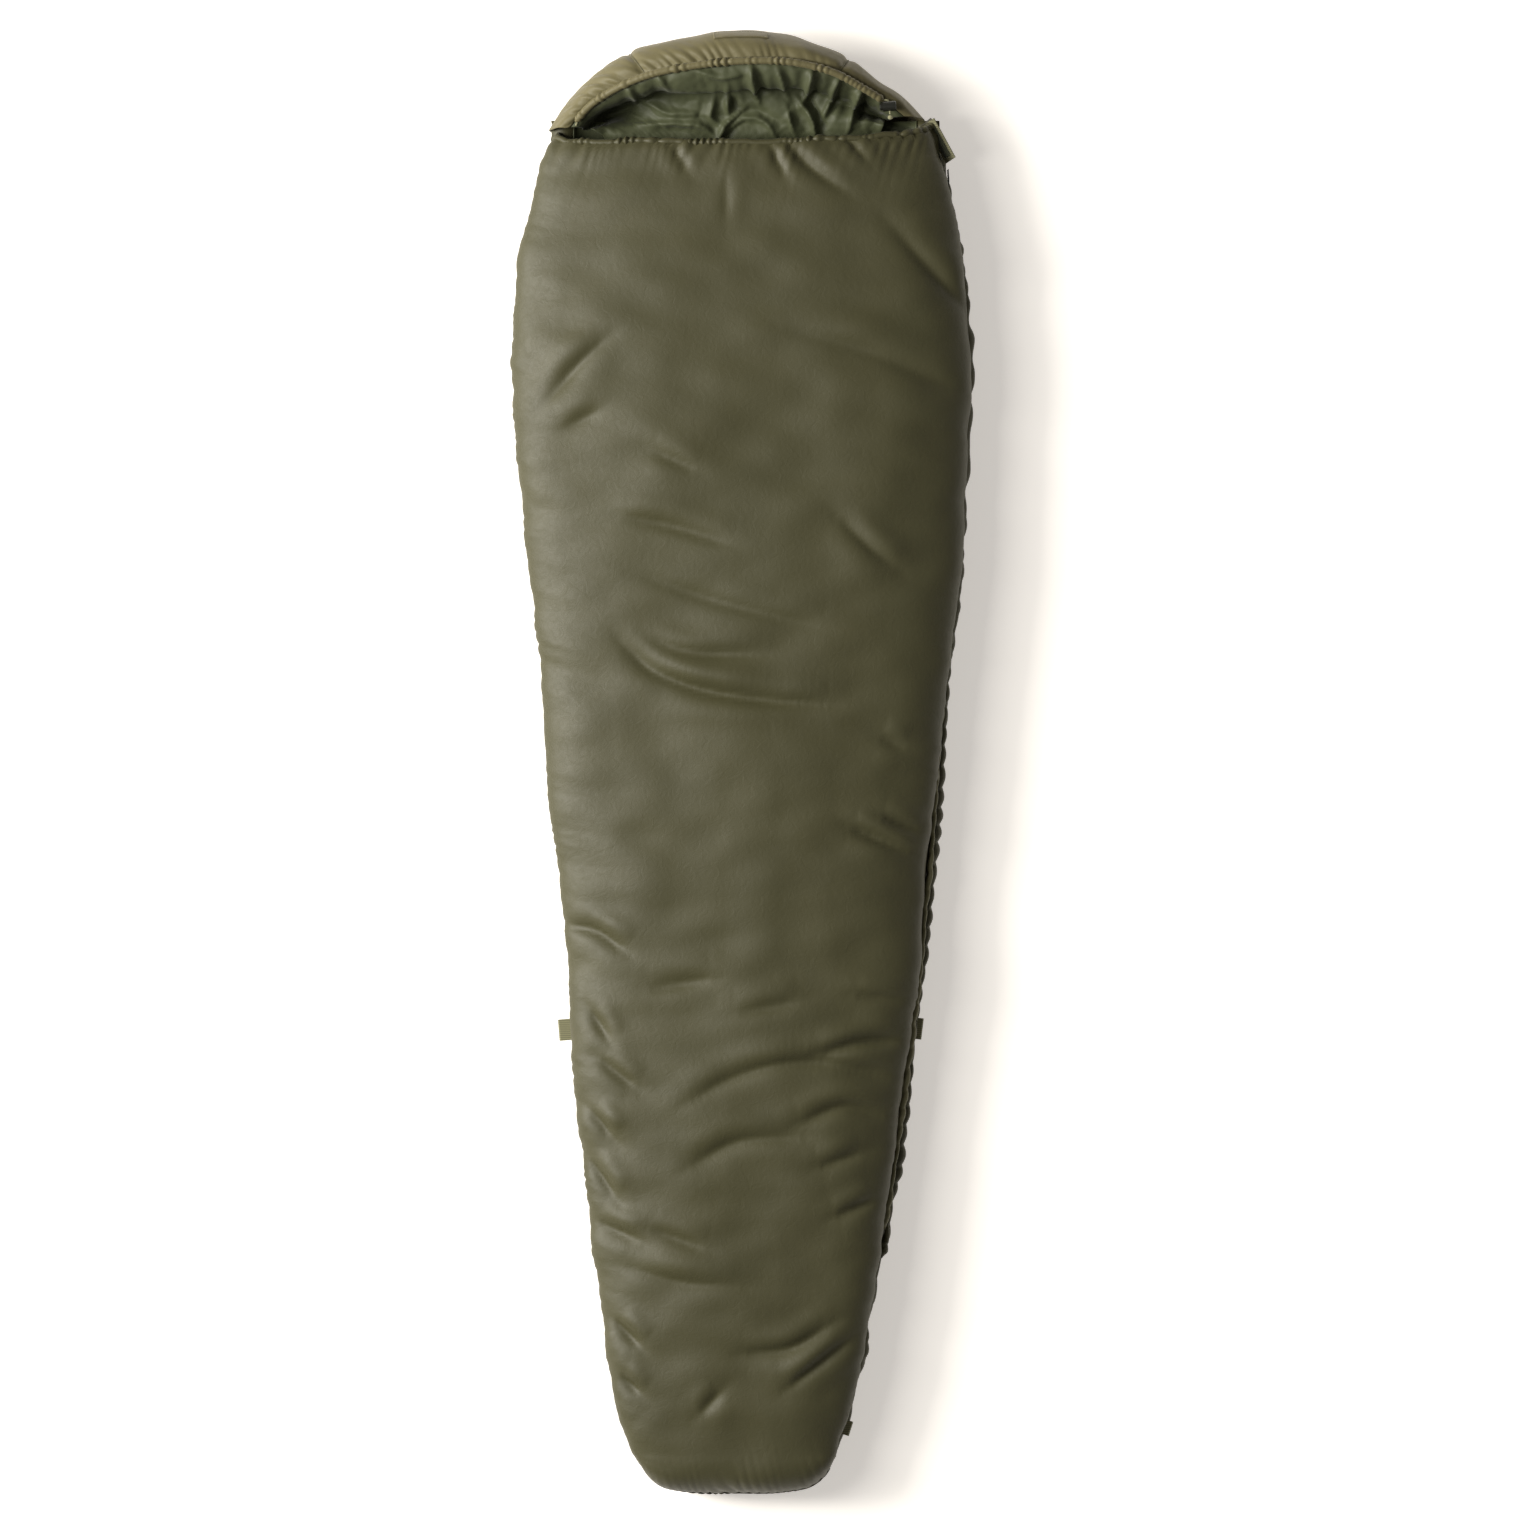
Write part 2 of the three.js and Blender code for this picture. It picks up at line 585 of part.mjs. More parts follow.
// The cord leaves its channel's right end, passes through the lock and ends in a knot.
const KNOT_RADIUS = 3.6;
const lockPoint = (x) => new THREE.Vector3(x, 0, 0).applyMatrix4(lock.matrix);
const channelEnd = channelLine(CHANNEL_ENDS[1]);
const toChannel = (x) => lockPoint(x).distanceTo(channelEnd);
const channelSide = Math.sign(toChannel(-1) - toChannel(1)); // the lock's end that faces the channel
const CORD_END = -12;
function beyond(from, to, distance) {
  return to.clone().addScaledVector(to.clone().sub(from).normalize(), distance);
}
const cordThroughLock = [10, 0, CORD_END].map((x) => lockPoint(x * channelSide));
const outOfStart = beyond(hoodChannelPath[1], hoodChannelPath[0], 6);
const outOfEnd = beyond(hoodChannelPath.at(-2), hoodChannelPath.at(-1), 7);
const cornerTail = outOfStart.clone().add(new THREE.Vector3(-6, -15, -6));
const hoodCordPath = [cornerTail, outOfStart, ...hoodChannelPath, outOfEnd, ...cordThroughLock];
add("hood_drawcord", sweep(hoodCordPath, disc(CORD_RADIUS, 6), 44), cordCloth);
const knot = new THREE.SphereGeometry(KNOT_RADIUS, 8, 6).scale(1.15, 1, 1);
const knotPlace = lockPoint((CORD_END - KNOT_RADIUS * 1.15 - 0.6) * channelSide);
add("drawcord_knot", facingOut(mergeVertices(stripped(knot), 1e-4)), cordCloth).position.copy(knotPlace);

// ---------- zip ----------
// A strip that follows the zip's arc between two heights and two offsets from the zip's middle plane.
function zipStrip(fromY, toY, x0, x1, z0, z1, steps) {
  const from = zipAngle(fromY);
  const to = zipAngle(toY);
  return slab((u, v, face) => {
    const a = lerp(from, to, v);
    const r = ZIP_RADIUS + lerp(x0, x1, face);
    return [ZIP_CENTRE.x + r * Math.cos(a), ZIP_CENTRE.y + r * Math.sin(a), lerp(z0, z1, u)];
  }, 1, steps);
}
const ZIP_STEPS = 26;
const tapeSpan = [COIL_GAP + COIL_WIDE + GAP, TAPE_WIDE];
const coilSpan = [COIL_GAP, COIL_GAP + COIL_WIDE];
function zipHalf(span, thick, direction) {
  const [near, far] = span.map((d) => SEAM_Z + direction * d);
  return zipStrip(ZIP_LOW.y, ZIP_TOP.y, -thick / 2, thick / 2, near, far, ZIP_STEPS);
}
add("zip_tape_lower", zipHalf(tapeSpan, TAPE_THICK, -1), tapeCloth);
add("zip_coil_lower", zipHalf(coilSpan, COIL_THICK, -1), coilNylon);
addFolding("zip_tape_upper", "corner_zip_tape", zipHalf(tapeSpan, TAPE_THICK, 1), tapeCloth);
addFolding("zip_coil_upper", "corner_zip_coil", zipHalf(coilSpan, COIL_THICK, 1), coilNylon);

// Metal stops clamp the ends of the coils.
const STOP_LONG = 4;
const stop = (y, z0, z1) => zipStrip(y, y + STOP_LONG, -1.7, 1.7, SEAM_Z + z0, SEAM_Z + z1, 1);
add("zip_stop_top_lower", stop(ZIP_TOP.y + GAP, -4, -0.6), steel);
add("zip_stop_top_upper", stop(ZIP_TOP.y + GAP, 0.6, 4), steel);
add("zip_stop_bottom", stop(ZIP_LOW.y - STOP_LONG - GAP, -4, 4), steel);

// The fabric pocket that covers the zip's lower end.
add("zip_garage", zipStrip(-722, -688, 5.2, 6.4, SEAM_Z - 12, SEAM_Z + 12, 4), shellCloth);
// A wadded tube inside the bag stops draughts at the zip.
const draughtPath = samples((k) => {
  const y = lerp(-660, 860, k);
  return new THREE.Vector3(zipX(y) - ZIP_RECESS - QUILT_EDGE - 24, y, SEAM_Z + 1);
}, 0, 1, 14);
const draughtShape = new THREE.Shape(
  new THREE.EllipseCurve(0, 0, 4.5, 9, 0, 2 * Math.PI).getPoints(8).slice(0, 8),
);
add("zip_draught_tube", sweep(draughtPath, draughtShape, 16), liningCloth);

// ---------- slider: two plates joined by a bridge, with a staple that holds the pull ----------
// In the slider's own frame: x out of the bag, y along the zip towards the head, z up.
const SLIDER = { long: 13, high: 10, plate: 1.2, slotHalf: 1.75, bridge: 1.0 };
const STAPLE = { reach: 3.4, long: 7, wire: 1.0 };
function sliderBody() {
  const outside = SLIDER.slotHalf + SLIDER.plate / 2;
  const plates = [-1, 1].map((side) => box(SLIDER.plate, SLIDER.long, SLIDER.high, side * outside));
  const bridge = box(2 * outside, 3.2, SLIDER.bridge, 0, SLIDER.long / 2 - 1.6);
  const face = SLIDER.slotHalf + SLIDER.plate;
  const legs = [-1, 1].map((end) =>
    box(STAPLE.reach, STAPLE.wire, 1.8, face + STAPLE.reach / 2 - 0.2, (end * STAPLE.long) / 2),
  );
  const back = box(STAPLE.wire, STAPLE.long + STAPLE.wire, 1.8, face + STAPLE.reach - 0.2);
  return join(...plates, bridge, ...legs, back);
}
// The pull's bar lies under the staple and its eye reaches past the staple's far leg.
// It turns about that bar, which is the pull's own origin.
const PULL = { long: 28, high: 7, thick: 1.2, eye: 7.2, bar: 1.3 };
function pullTab() {
  const head = PULL.bar / 2;
  const blade = box(PULL.thick, PULL.long, PULL.high, 0, head - PULL.long / 2);
  const eye = box(6, PULL.eye, 3.4, 0, -head - PULL.eye / 2);
  const grip = box(6, 9, 3, 0, 6.5 - PULL.long);
  return cut(blade, eye, grip);
}
const PULL_BAR = new THREE.Vector3(SLIDER.slotHalf + SLIDER.plate + PULL.thick / 2 + 0.45, 1.9, 0);
const SLIDER_Y = ZIP_LOW.y + 38; // unzipped: the slider is parked near the zip's lower end
const slider = new THREE.Group();
slider.position.set(zipX(SLIDER_Y), SLIDER_Y, SEAM_Z);
slider.rotation.z = zipAngle(SLIDER_Y);
bag.add(slider);
add("zip_slider", sliderBody(), steel, slider);
add("zip_pull", pullTab(), steel, slider).position.copy(PULL_BAR);

// ---------- closure tab at the head of the zip ----------
// It is sewn to the bottom quilt beyond the zip's end and leans outwards, open.
// Turned upright, its hook pad meets the loop pad on the top quilt's corner.
const TAB_ENDS = [907, 966];
const TAB = { wide: 26, thick: 1.6, lean: 35, standoff: 6.4 };
const PAD_THICK = 1.2;
const tabFoot = TAB_ENDS.map((y) => new THREE.Vector3(sides(y).seamRight + TAB.standoff, y, SEAM_Z + 1));
const tabAlong = tabFoot[1].clone().sub(tabFoot[0]);
const tabLength = tabAlong.length();
const tab = new THREE.Group();
tab.position.copy(tabFoot[0]);
tab.rotation.set(0, 0, Math.atan2(tabAlong.y, tabAlong.x) - Math.PI / 2);
bag.add(tab);
const leaf = new THREE.Group();
leaf.rotation.y = THREE.MathUtils.degToRad(TAB.lean);
tab.add(leaf);
add("closure_tab", box(TAB.thick, tabLength, TAB.wide, 0, tabLength / 2, TAB.wide / 2 + 1), webbing, leaf);
const padX = -(TAB.thick + PAD_THICK) / 2 - GAP;
const pad = () => box(PAD_THICK, tabLength - 14, 15, 0, tabLength / 2, 14);
add("closure_hook_pad", pad().translate(padX, 0, 0), hookPile, leaf);
add("corner_loop_pad", pad().translate(padX - PAD_THICK - 0.4, 0, 0), hookPile, tab);

// ---------- sewn loops of tape ----------
// Each loop sticks out of the seam; its hole runs along the bag's side.
function tapeLoop(reach, wide, opening, thick) {
  const half = opening / 2 + thick;
  const outline = new THREE.Shape();
  outline.moveTo(0, -half);
  outline.lineTo(reach - 2, -half);
  outline.lineTo(reach, -half + 2);
  outline.lineTo(reach, half - 2);
  outline.lineTo(reach - 2, half);
  outline.lineTo(0, half);
  const hole = new THREE.Path();
  hole.moveTo(1.2, -opening / 2);
  hole.lineTo(1.2, opening / 2);
  hole.lineTo(reach - thick, opening / 2);
  hole.lineTo(reach - thick, -opening / 2);
  outline.holes.push(hole);
  return new THREE.ExtrudeGeometry(outline, { depth: wide, bevelEnabled: false })
    .translate(0, 0, -wide / 2)
    .rotateX(Math.PI / 2);
}
function addLoop(name, y, side, outside, z, size) {
  const slope = Math.atan2(outside(y - 5) - outside(y + 5), 10);
  const loop = add(name, tapeLoop(size.reach, size.wide, size.opening, size.thick), webbing);
  loop.position.set(side * (outside(y) + 0.6), y, z);
  loop.rotation.z = side > 0 ? slope : Math.PI - slope;
}
const SIDE_LOOP = { wide: 32, opening: 6, thick: 1.4, reach: 27 };
const SHORT_LOOP = { ...SIDE_LOOP, reach: 13 };
const FOOT_LOOP = { wide: 22, opening: 4.8, thick: 1.2, reach: 16 };
addLoop("side_loop_left", -398, -1, (y) => sides(y).seamLeft, SEAM_Z, SIDE_LOOP);
addLoop("side_loop_right", -398, 1, (y) => sides(y).right, SEAM_Z - VALLEY_RISE, SHORT_LOOP);
addLoop("foot_loop", -997, 1, (y) => sides(y).seamRight, SEAM_Z, FOOT_LOOP);

export default bag;
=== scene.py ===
"""A mummy-shaped bivouac sleeping bag, lying flat and unzipped, seen from straight above.

Metres, +Z up, the hood towards +Y. The CAD frame gives every size and place; this script makes
the cloth, the wadding, the trims and the materials round it.
"""
import json
import math

import bpy
import numpy as np
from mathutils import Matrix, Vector, noise
from mathutils.bvhtree import BVHTree


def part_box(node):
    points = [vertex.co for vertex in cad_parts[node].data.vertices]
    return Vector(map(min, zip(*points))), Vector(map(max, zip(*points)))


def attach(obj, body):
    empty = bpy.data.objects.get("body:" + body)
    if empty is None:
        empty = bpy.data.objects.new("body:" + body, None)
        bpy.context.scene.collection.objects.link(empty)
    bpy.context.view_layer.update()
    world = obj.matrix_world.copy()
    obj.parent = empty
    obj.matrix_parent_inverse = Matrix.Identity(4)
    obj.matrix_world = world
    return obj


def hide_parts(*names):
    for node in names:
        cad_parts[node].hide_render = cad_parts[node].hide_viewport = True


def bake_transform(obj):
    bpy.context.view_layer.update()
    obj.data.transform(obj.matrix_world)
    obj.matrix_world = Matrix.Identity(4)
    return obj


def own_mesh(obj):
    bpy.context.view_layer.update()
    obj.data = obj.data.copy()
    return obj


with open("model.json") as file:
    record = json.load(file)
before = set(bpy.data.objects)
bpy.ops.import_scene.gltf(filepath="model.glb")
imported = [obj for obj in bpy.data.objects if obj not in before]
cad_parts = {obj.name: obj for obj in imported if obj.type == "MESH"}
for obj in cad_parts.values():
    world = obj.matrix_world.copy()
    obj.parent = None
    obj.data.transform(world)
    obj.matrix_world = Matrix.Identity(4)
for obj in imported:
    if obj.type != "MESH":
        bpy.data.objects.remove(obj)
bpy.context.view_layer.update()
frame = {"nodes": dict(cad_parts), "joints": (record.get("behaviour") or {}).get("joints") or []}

NODES = frame["nodes"]
JOINTS = {joint["name"]: joint for joint in frame["joints"]}

# ---------- driving sizes, as in the CAD ----------
SEAM_Z = 0.060  # height of the side seam and the zip
RISE = 0.025  # height over which a quilt swells out from the seam
VALLEY = 0.12  # share of a section's width spent on each recess beside the seam
WALL = 0.58  # share of the recess that stays at the seam
DOME = 2 / 2.25
CORNER = 0.27  # share where the bottom quilt's flat underside starts
ROUND = 0.052  # radius of the bottom quilt's lower edge
QUILT_EDGE = 0.034  # how far the lining stays inside the side seam
FLOOR_PAD = 0.037  # thickness of the bottom quilt
NECK_SAG = 0.028  # how far the neck edge dips towards the feet at its middle
GAP = 0.0004  # half the gap between the two quilts at the seam
CLOTH = 0.0012
FOOT_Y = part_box("bottom_shell")[0].y
COLLAR_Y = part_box("bottom_shell")[1].y
NOISE_GAIN = 1.6  # brings mathutils' noise to about -1 to 1


# ---------- camera ----------
CAMERA_HEIGHT = 9.0
CAMERA_AT = (0.024, 0.0075)
VIEW_WIDTH = 2.283  # seen at the height of the bag's middle
MIDDLE_Z = 0.10


def make_camera():
    data = bpy.data.cameras.new("camera")
    data.sensor_width = 36.0
    data.lens = data.sensor_width * (CAMERA_HEIGHT - MIDDLE_Z) / VIEW_WIDTH
    data.clip_end = 50
    camera = bpy.data.objects.new("camera", data)
    camera.location = (*CAMERA_AT, CAMERA_HEIGHT)
    bpy.context.scene.collection.objects.link(camera)
    bpy.context.scene.camera = camera


make_camera()


# ---------- numbers and curves ----------
def lerp(a, b, k):
    return a + (b - a) * k


def smooth(k):
    k = np.clip(k, 0, 1)
    return k * k * (3 - 2 * k)


def through(stations, values):
    """A smooth curve through values at rising stations, as a function of numpy arrays."""
    s = np.asarray(stations, float)
    v = np.asarray(values, float)
    slope = np.gradient(v, s)

    def curve(x):
        i = np.clip(np.searchsorted(s, x) - 1, 0, len(s) - 2)
        h = s[i + 1] - s[i]
        k = np.clip((x - s[i]) / h, 0, 1)
        a = (1 + 2 * k) * (1 - k) ** 2 * v[i] + k * k * (3 - 2 * k) * v[i + 1]
        return a + h * (k * (1 - k) ** 2 * slope[i] - k * k * (1 - k) * slope[i + 1])

    return curve


def run_along(points, axis=0):
    """The distance from the start of each line of points, along the line."""
    steps = np.linalg.norm(np.diff(points, axis=axis), axis=-1)
    start = np.zeros_like(np.take(steps, [0], axis))
    return np.concatenate([start, np.cumsum(steps, axis)], axis)


def path_through(points, count):
    """Evenly spaced points on a smooth curve through the given points."""
    p = np.asarray(points, float)
    s = run_along(p)
    dense = np.linspace(0, s[-1], 40 * len(p))
    line = np.stack([through(s, p[:, i])(dense) for i in range(p.shape[1])], 1)
    return evenly(line, count)


def evenly(line, count):
    """The same line with evenly spaced points."""
    s = run_along(line)
    at = np.linspace(0, s[-1], count)
    return np.stack([np.interp(at, s, line[:, i]) for i in range(line.shape[1])], 1)


def wander(x, seed, scale):
    """Smooth noise along a line, about -1 to 1."""
    value = [noise.noise(Vector((v / scale, seed * 7.3, 0))) for v in np.ravel(x)]
    return np.array(value).reshape(np.shape(x)) * NOISE_GAIN


def lumps(points, scale, seed):
    """Smooth noise at points in space, about -1 to 1."""
    flat = np.asarray(points).reshape(-1, 3) / scale + seed * 11.7
    value = np.array([noise.noise(Vector(p)) for p in flat])
    return value.reshape(np.asarray(points).shape[:-1]) * NOISE_GAIN


def bump(share, centre, width):
    """A bell curve, 1 at its centre."""
    return np.exp(-((share - centre) / width) ** 2)


def normals_of(grid):
    """Unit normals of a grid of points, on the side where rows and columns turn anticlockwise."""
    across = np.gradient(grid, axis=1)
    along = np.gradient(grid, axis=0)
    n = np.cross(across, along)
    return n / np.maximum(np.linalg.norm(n, axis=-1, keepdims=True), 1e-12)


def doubled(grid):
    """The same surface with a point added between each two, along rows and columns."""
    for axis in (0, 1):
        a = np.moveaxis(grid, axis, 0)
        middle = (a[:-1] + a[1:]) / 2
        middle[1:-1] = (9 * (a[1:-2] + a[2:-1]) - a[:-3] - a[3:]) / 16  # four-point rule
        both = np.empty((len(a) * 2 - 1, *a.shape[1:]))
        both[0::2] = a
        both[1::2] = middle
        grid = np.moveaxis(both, 0, axis)
    return grid


# ---------- pieces ----------
def new_piece(name, points, faces, material):
    mesh = bpy.data.meshes.new(name)
    mesh.from_pydata(np.asarray(points, float).reshape(-1, 3).tolist(), [], faces)
    if material:
        mesh.materials.append(material)
    mesh.polygons.foreach_set("use_smooth", [True] * len(mesh.polygons))
    mesh.update()
    piece = bpy.data.objects.new(name, mesh)
    bpy.context.scene.collection.objects.link(piece)
    return piece


def grid_faces(rows, columns, start=0, turned=False):
    j, i = np.mgrid[0 : rows - 1, 0 : columns - 1]
    a = (start + j * columns + i).ravel()
    quads = np.stack([a, a + 1, a + columns + 1, a + columns], 1)
    return (quads[:, ::-1] if turned else quads).tolist()


def rim_of(rows, columns, start=0):
    """The point numbers round a grid's edge, anticlockwise."""
    low = [start + i for i in range(columns - 1)]
    right = [start + j * columns + columns - 1 for j in range(rows - 1)]
    top = [start + (rows - 1) * columns + i for i in range(columns - 1, 0, -1)]
    left = [start + j * columns for j in range(rows - 1, 0, -1)]
    return low + right + top + left


def closed_body(name, front, back, material):
    """One closed mesh between a front grid and a back grid. The front may be twice as fine."""
    rows, columns = front.shape[:2]
    back_rows, back_columns = back.shape[:2]
    step = (rows - 1) // (back_rows - 1)
    start = rows * columns
    faces = grid_faces(rows, columns) + grid_faces(back_rows, back_columns, start, True)
    fine = rim_of(rows, columns)
    coarse = rim_of(back_rows, back_columns, start)
    for k in range(len(coarse)):
        edge = [fine[(k * step + m) % len(fine)] for m in range(step, -1, -1)]
        faces.append(edge + [coarse[k], coarse[(k + 1) % len(coarse)]])
    points = np.concatenate([front.reshape(-1, 3), back.reshape(-1, 3)])
    return new_piece(name, points, faces, material)


def sheet_body(name, grid, thick, material):
    """A closed sheet of cloth under a grid of points."""
    return closed_body(name, grid, grid - normals_of(grid) * thick, material)


def frames_along(path):
    """A steady pair of directions across a path: sideways and upwards."""
    tangent = np.gradient(path, axis=0)
    tangent /= np.linalg.norm(tangent, axis=1, keepdims=True)
    side = np.cross(tangent, (0.0, 0.0, 1.0))
    side /= np.maximum(np.linalg.norm(side, axis=1, keepdims=True), 1e-9)
    return side, np.cross(side, tangent)


def ring_faces(rings, sides):
    """The faces between rings of points."""
    faces = []
    for start in range(0, (rings - 1) * sides, sides):
        for i in range(sides):
            a, b = start + i, start + (i + 1) % sides
            faces.append([a, a + sides, b + sides, b])
    return faces


def tube(name, path, radius, material, sides=12, squash=1.0):
    """A closed tube along a path. radius is a number, or one for each point of path and side."""
    path = np.asarray(path, float)
    side, up = frames_along(path)
    angle = np.linspace(0, 2 * np.pi, sides, endpoint=False)
    r = np.broadcast_to(radius, (len(path), sides))
    ring = (path[:, None] + side[:, None] * (np.cos(angle) * r)[..., None]
            + up[:, None] * (np.sin(angle) * r * squash)[..., None])
    count = len(path)
    points = np.concatenate([ring.reshape(-1, 3), path[:1], path[-1:]])
    faces = ring_faces(count, sides)
    first, last = count * sides, count * sides + 1
    for i in range(sides):
        n = (i + 1) % sides
        faces.append([first, i, n])
        faces.append([last, (count - 1) * sides + n, (count - 1) * sides + i])
    return new_piece(name, points, faces, material)


def joined(name, *pieces):
    """One object from several."""
    bpy.ops.object.select_all(action="DESELECT")
    for piece in pieces:
        piece.select_set(True)
    bpy.context.view_layer.objects.active = pieces[0]
    bpy.ops.object.join()
    pieces[0].name = name
    return pieces[0]


def tree_of(*names):
    """CAD nodes as one surface that rays can be cast at."""
    points, faces = [], []
    for name in names:
        mesh = NODES[name].data
        start = len(points)
        points += [v.co.copy() for v in mesh.vertices]
        faces += [[start + i for i in p.vertices] for p in mesh.polygons]
    return BVHTree.FromPolygons(points, faces)


def hit(tree, origin, direction):
    return tree.ray_cast(Vector(origin), Vector(direction))[0]


# ---------- the bag's outline, measured on the frame ----------
def measure_outline():
    """Smooth functions of y: the seams, the sides of each quilt and the top quilt's crowns."""
    top = tree_of("top_shell", "corner_shell")
    inner = tree_of("top_lining", "corner_lining")
    bottom = tree_of("bottom_shell")
    rows = np.unique([round(v.co.y, 4) for v in NODES["bottom_shell"].data.vertices])
    found = {}

    def note(key, y, place, value):
        if place is not None:
            lists = found.setdefault(key, ([], []))
            lists[0].append(y)
            lists[1].append(value(place))

    for y in rows:
        at = min(max(y, FOOT_Y + 0.0005), COLLAR_Y - 0.0005)
        for key, tree, z in (("seam", top, SEAM_Z + 0.0008), ("top", top, SEAM_Z + RISE),
                             ("low", bottom, SEAM_Z - RISE)):
            for suffix, sign in (("_l", -1), ("_r", 1)):
                place = hit(tree, (sign, at, z), (-sign, 0, 0))
                note(key + suffix, y, place, lambda p, s=sign: s * p.x)
        note("crown", y, hit(top, (0, at, 1), (0, 0, -1)), lambda p: p.z)
        note("hollow", y, hit(inner, (0, at, 0.05), (0, 0, 1)), lambda p: p.z)
    return {key: through(*lists) for key, lists in found.items()}


outline = measure_outline()


def section_sides(y, u, key):
    return np.where(u < 0.5, outline[key + "_l"](y), outline[key + "_r"](y))


def section_parts(y, u, key):
    """What both quilts' outsides start from, at a share u across the section at y: the share
    from the nearer side, the share of the recess, x within the recess and x of the full side."""
    edge = np.minimum(u, 1 - u)
    seam, out = section_sides(y, u, "seam"), section_sides(y, u, key)
    k = np.clip(edge / VALLEY, 0, 1)
    return edge, k, lerp(seam, out, smooth((k - WALL) / (1 - WALL))), out


def top_outer(y, u):
    """The top quilt's outside, as CAD has it."""
    edge, k, x_recess, out = section_parts(y, u, "top")
    angle = np.pi * np.clip(edge - VALLEY, 0, 1) / (1 - 2 * VALLEY)
    base = SEAM_Z + RISE
    cosine = np.clip(np.cos(angle), 0, 1) ** DOME
    sine = np.clip(np.sin(angle), 0, 1) ** DOME
    x = np.where(u < 0.5, -1, 1) * np.where(edge < VALLEY, x_recess, out * cosine)
    z = np.where(edge < VALLEY, SEAM_Z + GAP + RISE * k, base + (outline["crown"](y) - base) * sine)
    return np.stack([x, y, z], -1)


def inner_x(y, u):
    across = np.cos(np.pi * (1 - u))
    reach = section_sides(y, u, "seam") - QUILT_EDGE
    return np.sign(across) * reach * np.abs(across) ** 0.9


def top_inner(y, u):
    height = (outline["hollow"](y) - SEAM_Z) * np.sin(np.pi * u) ** 0.85
    return np.stack([inner_x(y, u), y, SEAM_Z + GAP + height], -1)


def bottom_outer(y, u):
    """The bottom quilt's outside, as CAD has it."""
    edge, k, x_recess, out = section_parts(y, u, "low")
    turn = np.clip((edge - VALLEY) / (CORNER - VALLEY), 0, 1) * np.pi / 2
    flat = np.clip((edge - CORNER) / (0.5 - CORNER), 0, 1)
    x_low = (out - ROUND * (1 - np.cos(turn))) * (1 - flat)
    x = np.where(u < 0.5, -1, 1) * np.where(edge < VALLEY, x_recess, x_low)
    z = np.where(edge < VALLEY, SEAM_Z - GAP - RISE * k, (SEAM_Z - RISE) * (1 - np.sin(turn)))
    return np.stack([x, y, z], -1)


def bottom_inner(y, u):
    sine = np.clip(np.sin(np.pi * u), 0, 1) ** 0.6
    return np.stack([inner_x(y, u), y, SEAM_Z - GAP - (SEAM_Z - FLOOR_PAD) * sine], -1)


def neck_y(u):
    """The top quilt's neck edge, at a share u across it."""
    return (COLLAR_Y - 0.018 + 0.022 * u - NECK_SAG * np.sin(np.pi * np.clip(u, 0, 1)) ** 0.8
            + 0.0025 * wander(u, 11, 0.07))


def even_columns(section, y, count):
    """Shares u that lie evenly along a section's line."""
    u = np.linspace(0, 1, 2001)
    s = run_along(section(np.full_like(u, y), u))
    return np.interp(np.linspace(0, s[-1], count), s, u)


# ---------- cloth ----------
CLOTH_FRAMES = 24
CLOTH_SETTINGS = {
    "quality": 6, "mass": 0.15, "air_damping": 4.0, "tension_stiffness": 25,
    "compression_stiffness": 25, "shear_stiffness": 12, "tension_damping": 12,
    "compression_damping": 12, "shear_damping": 8, "pin_stiffness": 1.0,
}


def settled(grid, pins, growth, bending, soften, limit=0.02):
    """Lets a sheet that was cut too large for its place buckle over its wadding.

    pins are 1 where it is sewn down and less where only the wadding holds it. soften is how many
    times the smallest wrinkles are rounded off, and limit is the furthest that a point moves.
    """
    rows, columns = grid.shape[:2]
    cloth = new_piece("cloth_on_trial", grid, grid_faces(rows, columns), None)
    group = cloth.vertex_groups.new(name="pins")
    levels = np.round(np.clip(pins, 0, 1).ravel(), 2)
    for level in np.unique(levels):
        group.add(np.flatnonzero(levels == level).tolist(), float(level), "REPLACE")
    modifier = cloth.modifiers.new("cloth", "CLOTH")
    settings = modifier.settings
    for key, value in CLOTH_SETTINGS.items():
        setattr(settings, key, value)
    settings.bending_stiffness = bending
    settings.vertex_group_mass = "pins"
    settings.shrink_min = -growth
    settings.effector_weights.gravity = 0
    modifier.collision_settings.use_collision = False
    modifier.collision_settings.use_self_collision = False
    modifier.point_cache.frame_start = 1
    modifier.point_cache.frame_end = CLOTH_FRAMES
    scene = bpy.context.scene
    for number in range(1, CLOTH_FRAMES + 1):
        scene.frame_set(number)
    shape = cloth.evaluated_get(bpy.context.evaluated_depsgraph_get()).to_mesh()
    moved = np.empty(len(shape.vertices) * 3, np.float32)
    shape.vertices.foreach_get("co", moved)
    bpy.data.objects.remove(cloth)
    scene.frame_set(1)
    shift = moved.reshape(grid.shape).astype(float) - grid
    for _ in range(soften):
        shift[1:-1] = (shift[:-2] + 2 * shift[1:-1] + shift[2:]) / 4
        shift[:, 1:-1] = (shift[:, :-2] + 2 * shift[:, 1:-1] + shift[:, 2:]) / 4
    length = np.linalg.norm(shift, axis=-1, keepdims=True)
    return grid + shift * np.minimum(1, limit / np.maximum(length, 1e-9))


